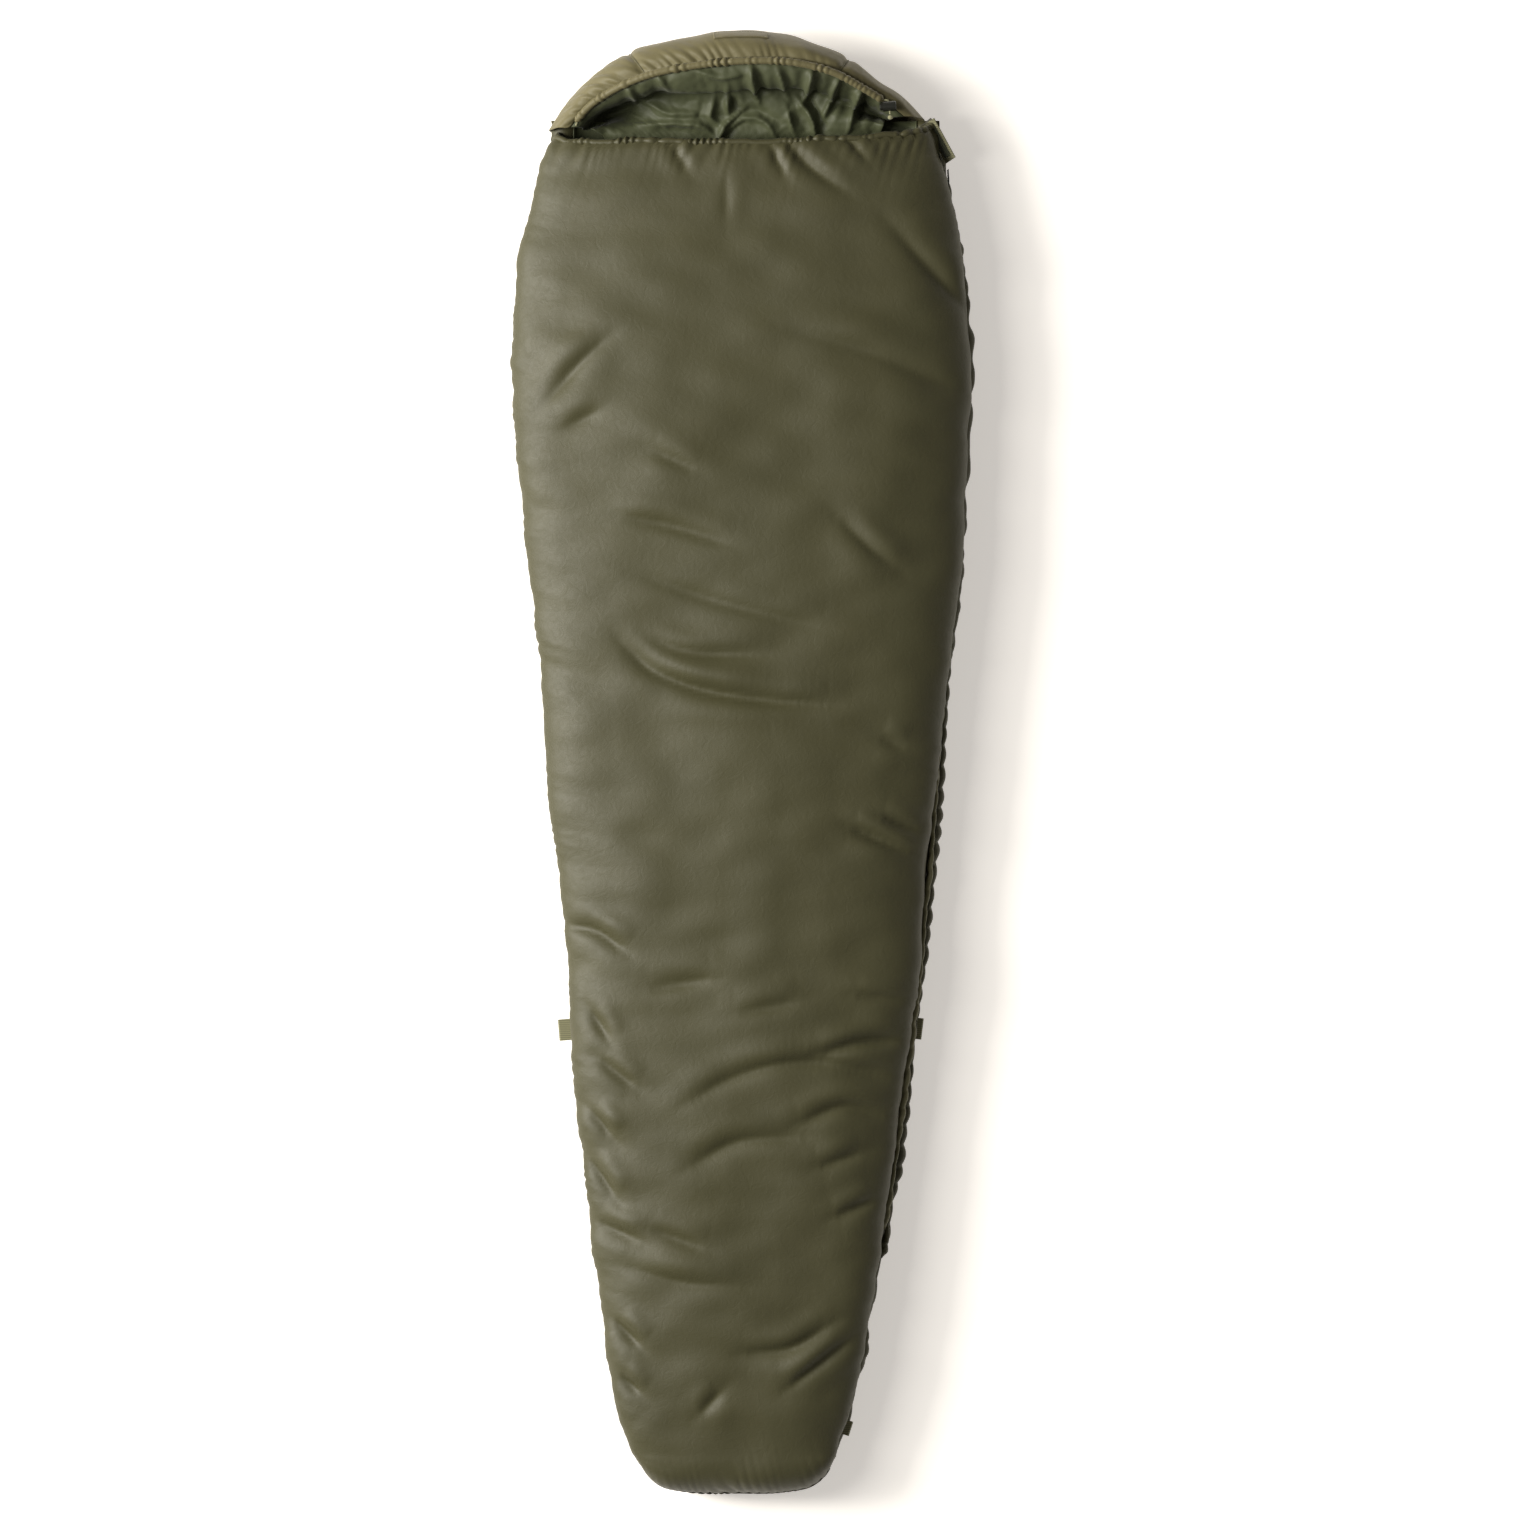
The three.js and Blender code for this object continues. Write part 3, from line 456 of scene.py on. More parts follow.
def crease_height(grid, creases):
    """How far soft creases lift a surface, from a table of lines in plan.

    Each is a valley along its line with a ridge on either side, and dies away past its ends.
    """
    height = np.zeros(grid.shape[:2])
    plan = grid[..., :2]
    for crease in creases:
        depth, width, *places = np.array(crease) / 1000
        points = np.reshape(places, (-1, 2))
        line = path_through(points, 30) if len(points) > 2 else evenly(points, 30)
        low, high = line.min(0) - 4 * width, line.max(0) + 4 * width
        near = np.flatnonzero(np.all((plan > low) & (plan < high), -1).ravel())
        if not len(near):
            continue
        gap = plan.reshape(-1, 2)[near][:, None] - line[None]
        nearest = np.argmin((gap ** 2).sum(-1), 1)
        offset = gap[np.arange(len(near)), nearest]
        tangent = np.gradient(line, axis=0)
        tangent /= np.linalg.norm(tangent, axis=1, keepdims=True)
        t = tangent[nearest]
        across = (t[:, 0] * offset[:, 1] - t[:, 1] * offset[:, 0]) / width
        beyond = (t * offset).sum(1) / width
        share = nearest / (len(line) - 1)
        taper = np.sin(np.pi * np.clip(share * 0.9 + 0.05, 0, 1)) ** 0.7
        valley = -1.05 * np.exp(-np.abs(across / 0.50) ** 1.5)
        ridges = 0.62 * bump(across, 1.45, 1.0) + 0.30 * bump(across, -1.7, 1.1)
        height.ravel()[near] += depth * taper * bump(beyond, 0, 1.4) * (valley + ridges)
    return height


def puckers(along, away, pitch, depth, reach, seed, slant=0.0):
    """How far the gathers beside a sewn seam lift the cloth. along and away are distances."""
    shifted = along + slant * away + 0.9 * pitch * wander(along, seed, pitch * 4)
    swell = np.abs(np.sin(np.pi * shifted / pitch)) - 0.62
    strength = np.clip(0.65 + 0.6 * wander(along, seed + 3, pitch * 4), 0.1, 1.4)
    longer = reach * np.clip(1 + 0.6 * wander(along, seed + 5, pitch * 1.5), 0.4, 1.8)
    return depth * swell * strength * np.exp(-away / longer)


# ---------- materials ----------
WAVES_PER_UNIT = 0.159  # a wave texture's scale times its pitch


def srgb(red, green, blue):
    """A colour given as 0 to 255 on screen, as the linear values that shaders use."""
    parts = [c / 255 for c in (red, green, blue)]
    return tuple(c / 12.92 if c <= 0.04045 else ((c + 0.055) / 1.055) ** 2.4 for c in parts) + (1,)


def node(tree, kind, settings=None, **links):
    """A shader node. A link is named for its socket, or input_N for the Nth; its value is
    another node's output, or a plain value."""
    made = tree.nodes.new("ShaderNode" + kind)
    for key, value in (settings or {}).items():
        setattr(made, key, value)
    for key, value in links.items():
        socket = made.inputs[int(key[6:]) if key.startswith("input_") else key.replace("_", " ")]
        if isinstance(value, bpy.types.NodeSocket):
            tree.links.new(value, socket)
        else:
            socket.default_value = value
    return made


def mixed(tree, share, first, second, blend="MIX"):
    """A colour between two."""
    return node(tree, "Mix", {"data_type": "RGBA", "blend_type": blend}, input_0=share,
                input_6=first, input_7=second).outputs[2]


def ranged(tree, value, low, high):
    """A value from 0 to 1 brought to another range."""
    return node(tree, "MapRange", Value=value, To_Min=low, To_Max=high).outputs[0]


def waves(tree, place, direction, pitch, distortion, detail):
    """Straight threads or ribs at an even pitch."""
    return node(tree, "TexWave", {"bands_direction": direction}, Vector=place,
                Scale=WAVES_PER_UNIT / pitch, Distortion=distortion, Detail=detail).outputs["Fac"]


def new_material(name, roughness, metallic=0.0, sheen=0.0, specular=0.5):
    """A material, with its node tree, its shader and the place on the object."""
    material = bpy.data.materials.new(name)
    material.use_nodes = True
    shader = material.node_tree.nodes["Principled BSDF"]
    shader.inputs["Roughness"].default_value = roughness
    shader.inputs["Metallic"].default_value = metallic
    shader.inputs["Sheen Weight"].default_value = sheen
    shader.inputs["Sheen Roughness"].default_value = 0.45
    shader.inputs["Specular IOR Level"].default_value = specular
    place = node(material.node_tree, "TexCoord").outputs["Object"]
    return material, material.node_tree, shader, place


def fabric(name, light, dark, roughness=0.55, sheen=0.15, thread=0.0007, weave=0.25, crumple=0.4,
           specular=0.35):
    """Woven cloth: two close colours, threads over and under, and fine crumpling."""
    material, tree, shader, place = new_material(name, roughness, sheen=sheen, specular=specular)
    patches = node(tree, "TexNoise", Vector=place, Scale=9.0, Detail=5.0, Roughness=0.6)
    tint = mixed(tree, patches.outputs["Fac"], light, dark)
    warp, weft = (waves(tree, place, direction, thread, 0.6, 1.0) for direction in "XY")
    woven = node(tree, "Math", {"operation": "MULTIPLY"}, input_0=warp, input_1=weft).outputs[0]
    coloured = mixed(tree, 1.0, tint, ranged(tree, woven, 0.94, 1.05), "MULTIPLY")
    tree.links.new(coloured, shader.inputs["Base Color"])
    creases = node(tree, "TexNoise", Vector=place, Scale=70.0, Detail=6.0, Roughness=0.62,
                   Distortion=1.2).outputs["Fac"]
    gloss = ranged(tree, creases, roughness - 0.08, roughness + 0.10)
    tree.links.new(gloss, shader.inputs["Roughness"])
    fine = node(tree, "Bump", Height=woven, Strength=weave, Distance=0.0002)
    rough = node(tree, "Bump", Height=creases, Strength=crumple, Distance=0.0012,
                 Normal=fine.outputs[0])
    tree.links.new(rough.outputs[0], shader.inputs["Normal"])
    return material


def moulded(name, colour, roughness, metallic=0.0, grain=900.0):
    """Plastic or metal with a fine surface grain and slight wear."""
    material, tree, shader, place = new_material(name, roughness, metallic)
    wear = node(tree, "TexNoise", Vector=place, Scale=260.0, Detail=4.0).outputs["Fac"]
    darker = tuple(c * 0.72 for c in colour[:3]) + (1,)
    tree.links.new(mixed(tree, wear, colour, darker), shader.inputs["Base Color"])
    gloss = ranged(tree, wear, max(roughness - 0.1, 0.05), roughness + 0.15)
    tree.links.new(gloss, shader.inputs["Roughness"])
    speckle = node(tree, "TexNoise", Vector=place, Scale=grain, Detail=2.0).outputs["Fac"]
    pitted = node(tree, "Bump", Height=speckle, Strength=0.35, Distance=0.00008)
    tree.links.new(pitted.outputs[0], shader.inputs["Normal"])
    return material


def ribbed(name, light, dark, pitch):
    """Grosgrain tape or webbing, with ribs across it."""
    material, tree, shader, place = new_material(name, 0.75, sheen=0.2, specular=0.3)
    ribs = waves(tree, place, "Y", pitch, 0.4, 2.0)
    tree.links.new(mixed(tree, ribs, dark, light), shader.inputs["Base Color"])
    raised = node(tree, "Bump", Height=ribs, Strength=0.6, Distance=0.0003)
    tree.links.new(raised.outputs[0], shader.inputs["Normal"])
    return material


SHELL = fabric("shell_fabric", srgb(72, 69, 41), srgb(65, 63, 38), roughness=0.56, sheen=0.04,
               specular=0.5)
LINING = fabric("lining_fabric", srgb(74, 78, 53), srgb(67, 71, 48), roughness=0.58, sheen=0.08,
                crumple=0.25)
HOOD = fabric("hood_fabric", srgb(110, 103, 71), srgb(101, 95, 66), sheen=0.06)
LABEL = fabric("label", srgb(112, 104, 74), srgb(104, 97, 69), thread=0.0004)
TAPE = ribbed("zip_tape", srgb(60, 59, 42), srgb(44, 43, 31), 0.0009)
WEBBING = ribbed("webbing", srgb(134, 132, 102), srgb(106, 104, 80), 0.0016)
CORD = ribbed("cord", srgb(158, 156, 122), srgb(120, 118, 90), 0.0012)
COIL = moulded("zip_coil", srgb(46, 46, 36), 0.42)
BLACK = moulded("black_plastic", srgb(30, 31, 25), 0.38)
STEEL = moulded("steel", srgb(186, 182, 168), 0.28, metallic=1.0, grain=1400.0)
HOOKS = fabric("hook_and_loop", srgb(72, 76, 54), srgb(48, 51, 37), roughness=0.95, sheen=0.5,
               thread=0.0012, weave=1.0, crumple=1.0)
THREAD = fabric("thread", srgb(112, 108, 78), srgb(96, 92, 66), roughness=0.6)


# ---------- quilts ----------
QUILT_ROWS = 181
QUILT_COLUMNS = 85
TYPICAL_Y = 0.2  # the section that sets how a quilt's columns are spread
NECK_ROLL = 0.045  # length over which the top quilt's neck edge rounds off
FOOT_ROLL = 0.020  # the same at the bottom quilt's foot
ROLL_Y = -1.034  # where the top quilt starts to turn down over the feet
ROLL_ROWS = 14
FOOT_MIDDLE = (-0.012, -1.030)
SEWN = 0.002  # cloth this close to a seam is held fast
SEAM_FADE = 0.03  # lumps and creases grow to their full height over this distance from a seam
BACKING = 0.0016  # how far a quilt's inside is kept from its lining
CREASE_DEPTH = 1.5
# Soft creases on the top quilt, in millimetres: depth, half width, and x and y of each place.
CREASES = [
    (4, 17, -299, 541, -246, 601, -204, 638),
    (2.5, 14, -269, 503, -216, 530),
    (3, 15, -138, 469, -71, 440),
    (3.6, 17, -179, 372, -96, 353, -21, 330),
    (3.5, 16, 144, 368, 189, 326, 227, 296),
    (3.6, 20, -156, 285, -66, 252, 114, 206),
    (3.4, 14, -141, 191, -114, 177, 24, 165),
    (6.2, 17, -179, 180, -144, 146, -96, 123, 24, 98, 129, 90),
    (3, 14, 204, 41, 242, 26),
    (4.8, 13, 205, -78, 262, -100),
    (6, 15, 160, -94, 250, -130),
    (4.8, 15, -269, -240, -224, -248, -179, -278),
    (3.4, 18, -141, -335, -48, -320),
    (3.4, 17, -9, -371, 84, -353),
    (4, 14, 167, -345, 242, -353),
    (6.2, 14, 114, -431, 174, -416, 234, -413),
    (4.8, 18, -81, -503, -21, -470, 69, -446, 159, -452, 224, -470),
    (4.6, 16, 84, -536, 152, -512, 212, -527),
    (4, 18, -81, -601, -14, -566, 84, -556),
    (4.2, 15, 114, -601, 177, -581),
    (4, 14, -231, -368, -201, -413),
    (4.2, 15, -216, -443, -164, -481),
    (4.5, 14, -231, -518, -198, -556),
    (4.8, 15, -231, -593, -194, -646),
    (4.4, 15, -219, -686, -156, -713),
    (3.6, 16, -141, -695, -59, -724),
    (4.6, 14, 137, -676, 197, -653),
    (3.6, 17, -179, -751, -96, -774, -6, -781),
    (4.6, 14, -194, -834, -156, -871),
    (4, 13, -186, -916, -156, -942),
    (3.2, 14, -66, -972, -33, -939),
    (4.6, 15, 2, -882, 69, -874, 129, -841),
    (4.6, 14, 69, -931, 129, -886, 159, -864),
    (1.3, 12, -26, 880, -27, 815),
    (4, 22, 221, 807, 342, 676),
    (3.6, 24, 60, 652, 200, 613, 317, 563),
    (3.6, 11, 39, 930, 60, 885),
    (4, 14, 60, 934, 100, 895, 150, 860),
    (3, 11, -110, 935, -85, 890),
    (2.6, 10, 150, 945, 185, 905),
]


def foot_curve(count):
    """The rounded seam at the foot, in plan, from the left side seam to the right."""
    left, right = -outline["seam_l"](ROLL_Y), outline["seam_r"](ROLL_Y)
    points = [(left, ROLL_Y), (left + 0.007, -1.062), (left + 0.028, -1.084), (-0.086, -1.0945),
              (-0.012, -1.0965), (0.062, -1.0945), (right - 0.030, -1.085), (right - 0.008, -1.064),
              (right, ROLL_Y)]
    return path_through(points, count)


def quilt_grid(section, end_y, start_y=FOOT_Y, rows=QUILT_ROWS):
    """A grid of points on a quilt's face, and the shares u across it and v along it."""
    shape = (rows, QUILT_COLUMNS)
    u = np.broadcast_to(even_columns(section, TYPICAL_Y, QUILT_COLUMNS), shape)
    v = np.broadcast_to(np.linspace(0, 1, rows)[:, None], shape)
    return section(lerp(start_y, end_y(u), v), u), u, v


def rolled_over(grid, inset):
    """Adds rows that carry the top quilt down over the feet to the foot seam."""
    curve = lerp(np.array(FOOT_MIDDLE), foot_curve(grid.shape[1]), inset)
    turn = np.linspace(np.pi / 2, 0, ROLL_ROWS + 1)[:-1, None]
    first = grid[0]
    plan = lerp(first[None, :, :2], curve[None], (np.sin(turn) ** 0.85)[..., None])
    height = SEAM_Z + GAP + (first[None, :, 2] - SEAM_Z - GAP) * np.cos(turn) ** 0.85
    return np.concatenate([np.concatenate([plan, height[..., None]], -1), grid])


def rounded_off(outer, inner, near, share):
    """Brings both faces of a quilt together where near reaches 1, as a rolled edge."""
    k = np.clip(near, 0, 1)[..., None]
    pull = 1 - np.sqrt(np.clip(1 - k * k, 0, 1))
    middle = lerp(outer, inner, share)
    return lerp(outer, middle, pull * 0.92), lerp(inner, middle, pull * 0.92)


def from_sides(grid):
    """For each point of a grid, its distance from its row's two ends, along the cloth."""
    s = run_along(grid, 1)
    return s, s[:, -1:] - s


def seam_pins(grid, hold):
    """How firmly each point of a quilt's face is held: fast at its seams and ends."""
    pins = np.where(np.minimum(*from_sides(grid)) < SEWN, 1, hold)
    pins[0] = pins[-1] = 1
    return pins


def make_top_quilt():
    rows = QUILT_ROWS - ROLL_ROWS
    outer, u, v = quilt_grid(top_outer, neck_y, ROLL_Y, rows)
    inner = top_inner(lerp(ROLL_Y, neck_y(u), v), u)
    to_neck = (neck_y(u) - outer[..., 1]) / NECK_ROLL
    outer, inner = rounded_off(outer, inner, 1 - to_neck, 0.3)
    outer = rolled_over(outer, 1.0)
    inner = rolled_over(inner, 0.86)
    to_neck = np.concatenate([np.full((ROLL_ROWS, outer.shape[1]), 20.0), to_neck])
    edge = np.minimum(*from_sides(outer))
    calm = smooth(edge / SEAM_FADE) * smooth(run_along(outer) / SEAM_FADE) * smooth(to_neck)
    height = 0.0040 * lumps(outer * (1, 0.75, 1), 0.16, 1)
    height += 0.0024 * lumps(outer * (1, 1.8, 1), 0.08, 2)
    outer = outer + normals_of(outer) * (height * calm)[..., None]
    outer = doubled(settled(outer, seam_pins(outer, 0.46), growth=0.05, bending=0.5, soften=4))
    up = normals_of(outer)
    edge = np.minimum(*from_sides(outer))
    height = CREASE_DEPTH * crease_height(outer, CREASES) * np.clip(up[..., 2] * 1.6, 0, 1)
    outer = outer + up * (height * smooth(edge / SEAM_FADE))[..., None]
    left, right = from_sides(outer)
    y = outer[..., 1]
    lift = puckers(y, left, 0.021, 0.0060, 0.034, 1, slant=0.25)
    lift += puckers(y, left, 0.052, 0.0040, 0.028, 14, slant=-0.8) * smooth(left / SEAM_FADE)
    lift += puckers(y, right, 0.024, 0.0046, 0.026, 2, slant=-0.25)
    lift += puckers(y, right, 0.060, 0.0036, 0.040, 15, slant=0.4) * smooth(right / SEAM_FADE)
    neck = doubled(to_neck[..., None])[..., 0] * NECK_ROLL
    lift += puckers(outer[..., 0], np.maximum(neck, 0), 0.017, 0.0064, 0.020, 3, slant=0.3)
    round_foot = run_along(outer[0]) + 0 * y
    lift += puckers(round_foot, run_along(outer), 0.015, 0.0055, 0.026, 4, slant=0.4)
    outer = outer + normals_of(outer) * lift[..., None]
    body = closed_body("top_quilt", outer, inner + (0, 0, BACKING), SHELL)
    lining = inner + (0, 0, -0.0002)
    inset = np.minimum(*from_sides(lining)) * smooth(run_along(lining) / SEAM_FADE)
    hollow = 0.0035 * lumps(lining * (1, 1.6, 1), 0.06, 5) * smooth(inset / SEAM_FADE)
    lining[..., 2] -= np.abs(hollow)
    sheet = sheet_body("top_quilt_lining", lining[:, ::-1], CLOTH, LINING)
    return body, sheet


def make_bottom_quilt():
    outer, u, _ = quilt_grid(bottom_outer, lambda share: COLLAR_Y + 0 * share)
    inner = bottom_inner(outer[..., 1], u)
    to_foot = (outer[..., 1] - FOOT_Y) / FOOT_ROLL
    outer, inner = rounded_off(outer, inner, (1 - to_foot) * 0.7, 0.4)
    edge = np.minimum(*from_sides(outer))
    above = smooth(outer[..., 2] / 0.012) * smooth(edge / SEAM_FADE)
    height = 0.0035 * lumps(outer * (1, 1.6, 1), 0.06, 6) * above
    outer = outer - normals_of(outer) * height[..., None]
    pins = seam_pins(outer, np.where(outer[..., 2] < 0.006, 1, 0.45))  # the underside lies flat
    outer = doubled(settled(outer, pins, growth=0.04, bending=0.2, soften=2))
    left, right = from_sides(outer)
    y = outer[..., 1]
    fade = smooth(outer[..., 2] / 0.02)
    lift = puckers(y, left, 0.022, 0.0040, 0.045, 7, slant=0.5)
    lift += puckers(y, right, 0.036, 0.0062, 0.050, 8, slant=-0.9) * fade
    outer = outer - normals_of(outer) * (lift * fade)[..., None]
    outer[..., 2] = np.maximum(outer[..., 2], 0.0)
    body = closed_body("bottom_quilt", outer[:, ::-1], (inner - (0, 0, BACKING))[:, ::-1], SHELL)
    inset = np.minimum(*from_sides(inner))
    inner[..., 2] += np.abs(0.003 * lumps(inner * (1, 1.5, 1), 0.07, 9)) * smooth(inset / SEAM_FADE)
    sheet = sheet_body("bottom_quilt_lining", inner, CLOTH, LINING)
    return body, sheet


def make_foot():
    """The end panel under the feet, gathered into the seam round the top quilt's end."""
    columns, rows = 241, 33
    curve = foot_curve(columns)
    s = np.linspace(0, 1, rows)[:, None]
    spread = 0.86 + 0.15 * np.sin(np.pi * np.clip(s * 0.62, 0, 1)) ** 0.8
    plan = lerp(np.array(FOOT_MIDDLE), curve[None], spread[..., None])
    z = 0.0005 + (SEAM_Z - 0.0012) * s ** 1.15 + 0 * plan[..., 0]
    grid = np.concatenate([plan, z[..., None]], -1)
    below = (1 - s) * SEAM_Z + 0 * z
    lift = puckers(run_along(curve) + 0 * z, below, 0.014, 0.0060, 0.030, 12, slant=0.4)
    lift += 0.002 * lumps(grid, 0.04, 13)
    lift *= smooth(s / 0.15)
    grid = grid + normals_of(grid) * lift[..., None]
    back = grid - normals_of(grid) * 0.0020
    for face in (grid, back):
        face[..., 2] = np.maximum(face[..., 2], 0.0)
    return closed_body("foot_panel", grid, back, SHELL)


top_quilt, top_lining = make_top_quilt()
bottom_quilt, bottom_lining = make_bottom_quilt()
foot_panel = make_foot()

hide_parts("top_shell", "top_fill_feet", "top_fill_hips", "top_fill_chest",
            "corner_shell", "corner_fill")
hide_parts("top_lining", "corner_lining")
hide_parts("bottom_shell", "bottom_fill_feet", "bottom_fill_hips",
            "bottom_fill_chest")
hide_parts("bottom_lining")
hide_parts("foot_shell", "foot_fill", "foot_lining")
for piece in (top_quilt, top_lining):
    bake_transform(piece)
for piece in (bottom_quilt, bottom_lining, foot_panel):
    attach(piece, "bag")


# ---------- hood ----------
# The hood's outside edge and rim, from the left end round the top to the right end.
HOOD_OUTSIDE = [(-0.290, 0.956), (-0.262, 1.001), (-0.225, 1.038), (-0.168, 1.073), (-0.090, 1.093),
                (0.000, 1.100), (0.075, 1.092), (0.150, 1.064), (0.205, 1.027), (0.248, 0.997),
                (0.271, 0.974)]
HOOD_RIM = [(-0.262, 0.958, 0.098), (-0.230, 0.992, 0.108), (-0.197, 1.012, 0.122),
            (-0.150, 1.031, 0.138), (-0.075, 1.046, 0.148), (0.004, 1.053, 0.152),
            (0.080, 1.050, 0.150), (0.136, 1.036, 0.142), (0.180, 1.014, 0.128),
            (0.216, 0.993, 0.112), (0.241, 0.974, 0.100)]
HOOD_STATIONS = 321
PANEL_CLOTH = 0.0016
HOOD_SEAMS = (0.255, 0.780)  # shares along the hood where its panels join
LINING_STATIONS = 141
LINING_STEPS = 61
# Folds of the hood's lining, in the same way.
LINING_FOLDS = [
    (9, 8, 10, 1040, 14, 1018, 20, 1002),
    (8.5, 8, 102, 1040, 96, 1012, 88, 996),
    (10, 8, 84, 998, 102, 974, 108, 946),
    (7, 6, 146, 1032, 130, 1000, 118, 972),
    (10.5, 8, 182, 1020, 170, 1000, 160, 966),
    (6, 6, 200, 1015, 204, 990),
    (8, 7, -25, 1006, -24, 984),
    (7.5, 8, -4, 984, -30, 962, -41, 935),
    (7, 9, -41, 944, -62, 961, -100, 966, -168, 962),
    (6, 8, -27, 955, 4, 974, 32, 968, 46, 950),
    (5, 8, -46, 998, -50, 976, -34, 962),
    (6, 10, -150, 1004, -120, 984, -70, 980),
    (5, 7, -180, 1018, -160, 998),
    (5, 7, -132, 1034, -118, 1016),
    (4, 8, -80, 1040, -40, 1028, 0, 1032),
    (5, 7, 52, 1036, 62, 1012),
    (4.5, 7, 66, 985, 74, 955),
]


def hood_lines(count):
    """Points on the hood's outside edge and rim, and the way in across it."""
    outside = path_through(HOOD_OUTSIDE, count)
    rim = path_through(HOOD_RIM, count)
    inward = rim[:, :2] - outside
    reach = np.linalg.norm(inward, axis=1)
    return outside, rim, inward / reach[:, None], reach


def along_sections(controls, steps):
    """A grid from a list of control lines, each one point for every station."""
    controls = np.stack(controls, 1)
    return np.stack([path_through(points, steps) for points in controls])


def inward_line(outside, inward, distance, height):
    """The outside edge moved inwards by a distance and put at a height."""
    plan = outside + inward * np.reshape(distance, (-1, 1))
    return np.concatenate([plan, np.broadcast_to(height, (len(plan),))[:, None]], 1)


def hood_surface():
    """The hood's outside, from its place on the floor up and over to the rim."""
    outside, rim, inward, reach = hood_lines(HOOD_STATIONS)
    z = rim[:, 2]
    share = np.linspace(0, 1, HOOD_STATIONS)
    collar = np.stack([lerp(-0.214, 0.204, share), 0 * share + COLLAR_Y + 0.0006, 0 * share], 1)
    places = [(0.042, 0.0003), (0.016, 0.007), (0.003, 0.032), (-0.002, 0.066),
              (reach * 0.20, z - 0.016), (reach * 0.58, z - 0.0005), (reach, z)]
    controls = [inward_line(outside, inward, distance, height) for distance, height in places]
    grid = along_sections([lerp(collar, controls[0], 0.6)] + controls, 61)
    from_floor, to_rim = from_sides(grid)
    along = np.broadcast_to(run_along(rim)[:, None], to_rim.shape)
    share = np.broadcast_to(share[:, None], to_rim.shape)
    loose = bump(share, 0.12, 0.16)
    x = grid[..., 0]
    drawn = 0.45 + 0.9 * bump(x, -0.085, 0.060) + 0.7 * bump(x, -0.22, 0.05)
    lift = drawn * puckers(along, to_rim, 0.0150, 0.0062, 0.014, 21, slant=0.5)
    lift += loose * puckers(along, to_rim, 0.024, 0.0052, 0.055, 22, slant=0.6)
    lift += 0.0022 * lumps(grid, 0.05, 23) + 0.0030 * lumps(grid, 0.11, 24)
    for seam in HOOD_SEAMS:
        away = np.abs(share - seam) * along[-1, -1]
        lift -= 0.0040 * bump(away, 0, 0.006)
        lift += puckers(to_rim, away, 0.013, 0.0034, 0.012, 25, slant=0.3)
    lift *= smooth(from_floor / 0.05) * (0.25 + 0.75 * smooth(to_rim / 0.006))
    grid = grid + normals_of(grid) * lift[..., None]
    grid[..., 2] = np.maximum(grid[..., 2], 0.0002)
    return grid


def make_hood():
    """Three padded panels, and the seam piping between them."""
    surface = hood_surface()
    pieces = []
    edges = [0] + [round(seam * (HOOD_STATIONS - 1)) for seam in HOOD_SEAMS] + [HOOD_STATIONS - 1]
    for name, start, end in zip(("left", "centre", "right"), edges, edges[1:]):
        panel = surface[start : end + 1]
        piece = sheet_body("hood_panel_" + name, panel, PANEL_CLOTH, HOOD)
        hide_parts("hood_shell_" + name)
        pieces.append(piece)
    for number, station in enumerate(edges[1:-1]):
        line = surface[station, 18:] + normals_of(surface)[station, 18:] * 0.0004
        piping = tube(f"hood_seam_{number + 1}", evenly(line, 90), 0.0009, THREAD, sides=8)
        pieces.append(piping)
    return surface, pieces


def gathered_tube(name, line, radius, pitch, depth, material, seed, squash=1.0):
    """A cord channel, drawn up in small gathers."""
    sides = 16
    length = run_along(line)[-1]
    count = int(length / (pitch / 7))
    path = evenly(line, count)
    s = np.linspace(0, length, count)
    phase = s[:, None] + 1.1 * pitch * wander(s, seed, pitch * 5)[:, None]
    angle = np.linspace(0, 2 * np.pi, sides, endpoint=False)[None]
    swell = np.abs(np.sin(np.pi * (phase + 0.25 * pitch * np.sin(angle)) / pitch)) - 0.6
    strength = np.clip(0.35 + 1.0 * wander(s, seed + 1, pitch * 2.2), 0, 1.3)[:, None]
    ends = smooth(np.minimum(s, length - s) / (radius * 1.2))[:, None]
    r = (radius + depth * swell * strength) * (0.35 + 0.65 * ends)
    return tube(name, path, r, material, sides=sides, squash=squash)


def make_hood_channel():
    outside, rim, inward, reach = hood_lines(HOOD_STATIONS)
    line = inward_line(outside, inward, reach + 0.002, rim[:, 2] + 0.0048)
    first, last = round(0.02 * HOOD_STATIONS), round(0.93 * HOOD_STATIONS)
    piece = gathered_tube("hood_channel", line[first:last], 0.0056, 0.0105, 0.0030, HOOD, 31)
    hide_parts("hood_cord_channel")
    return piece


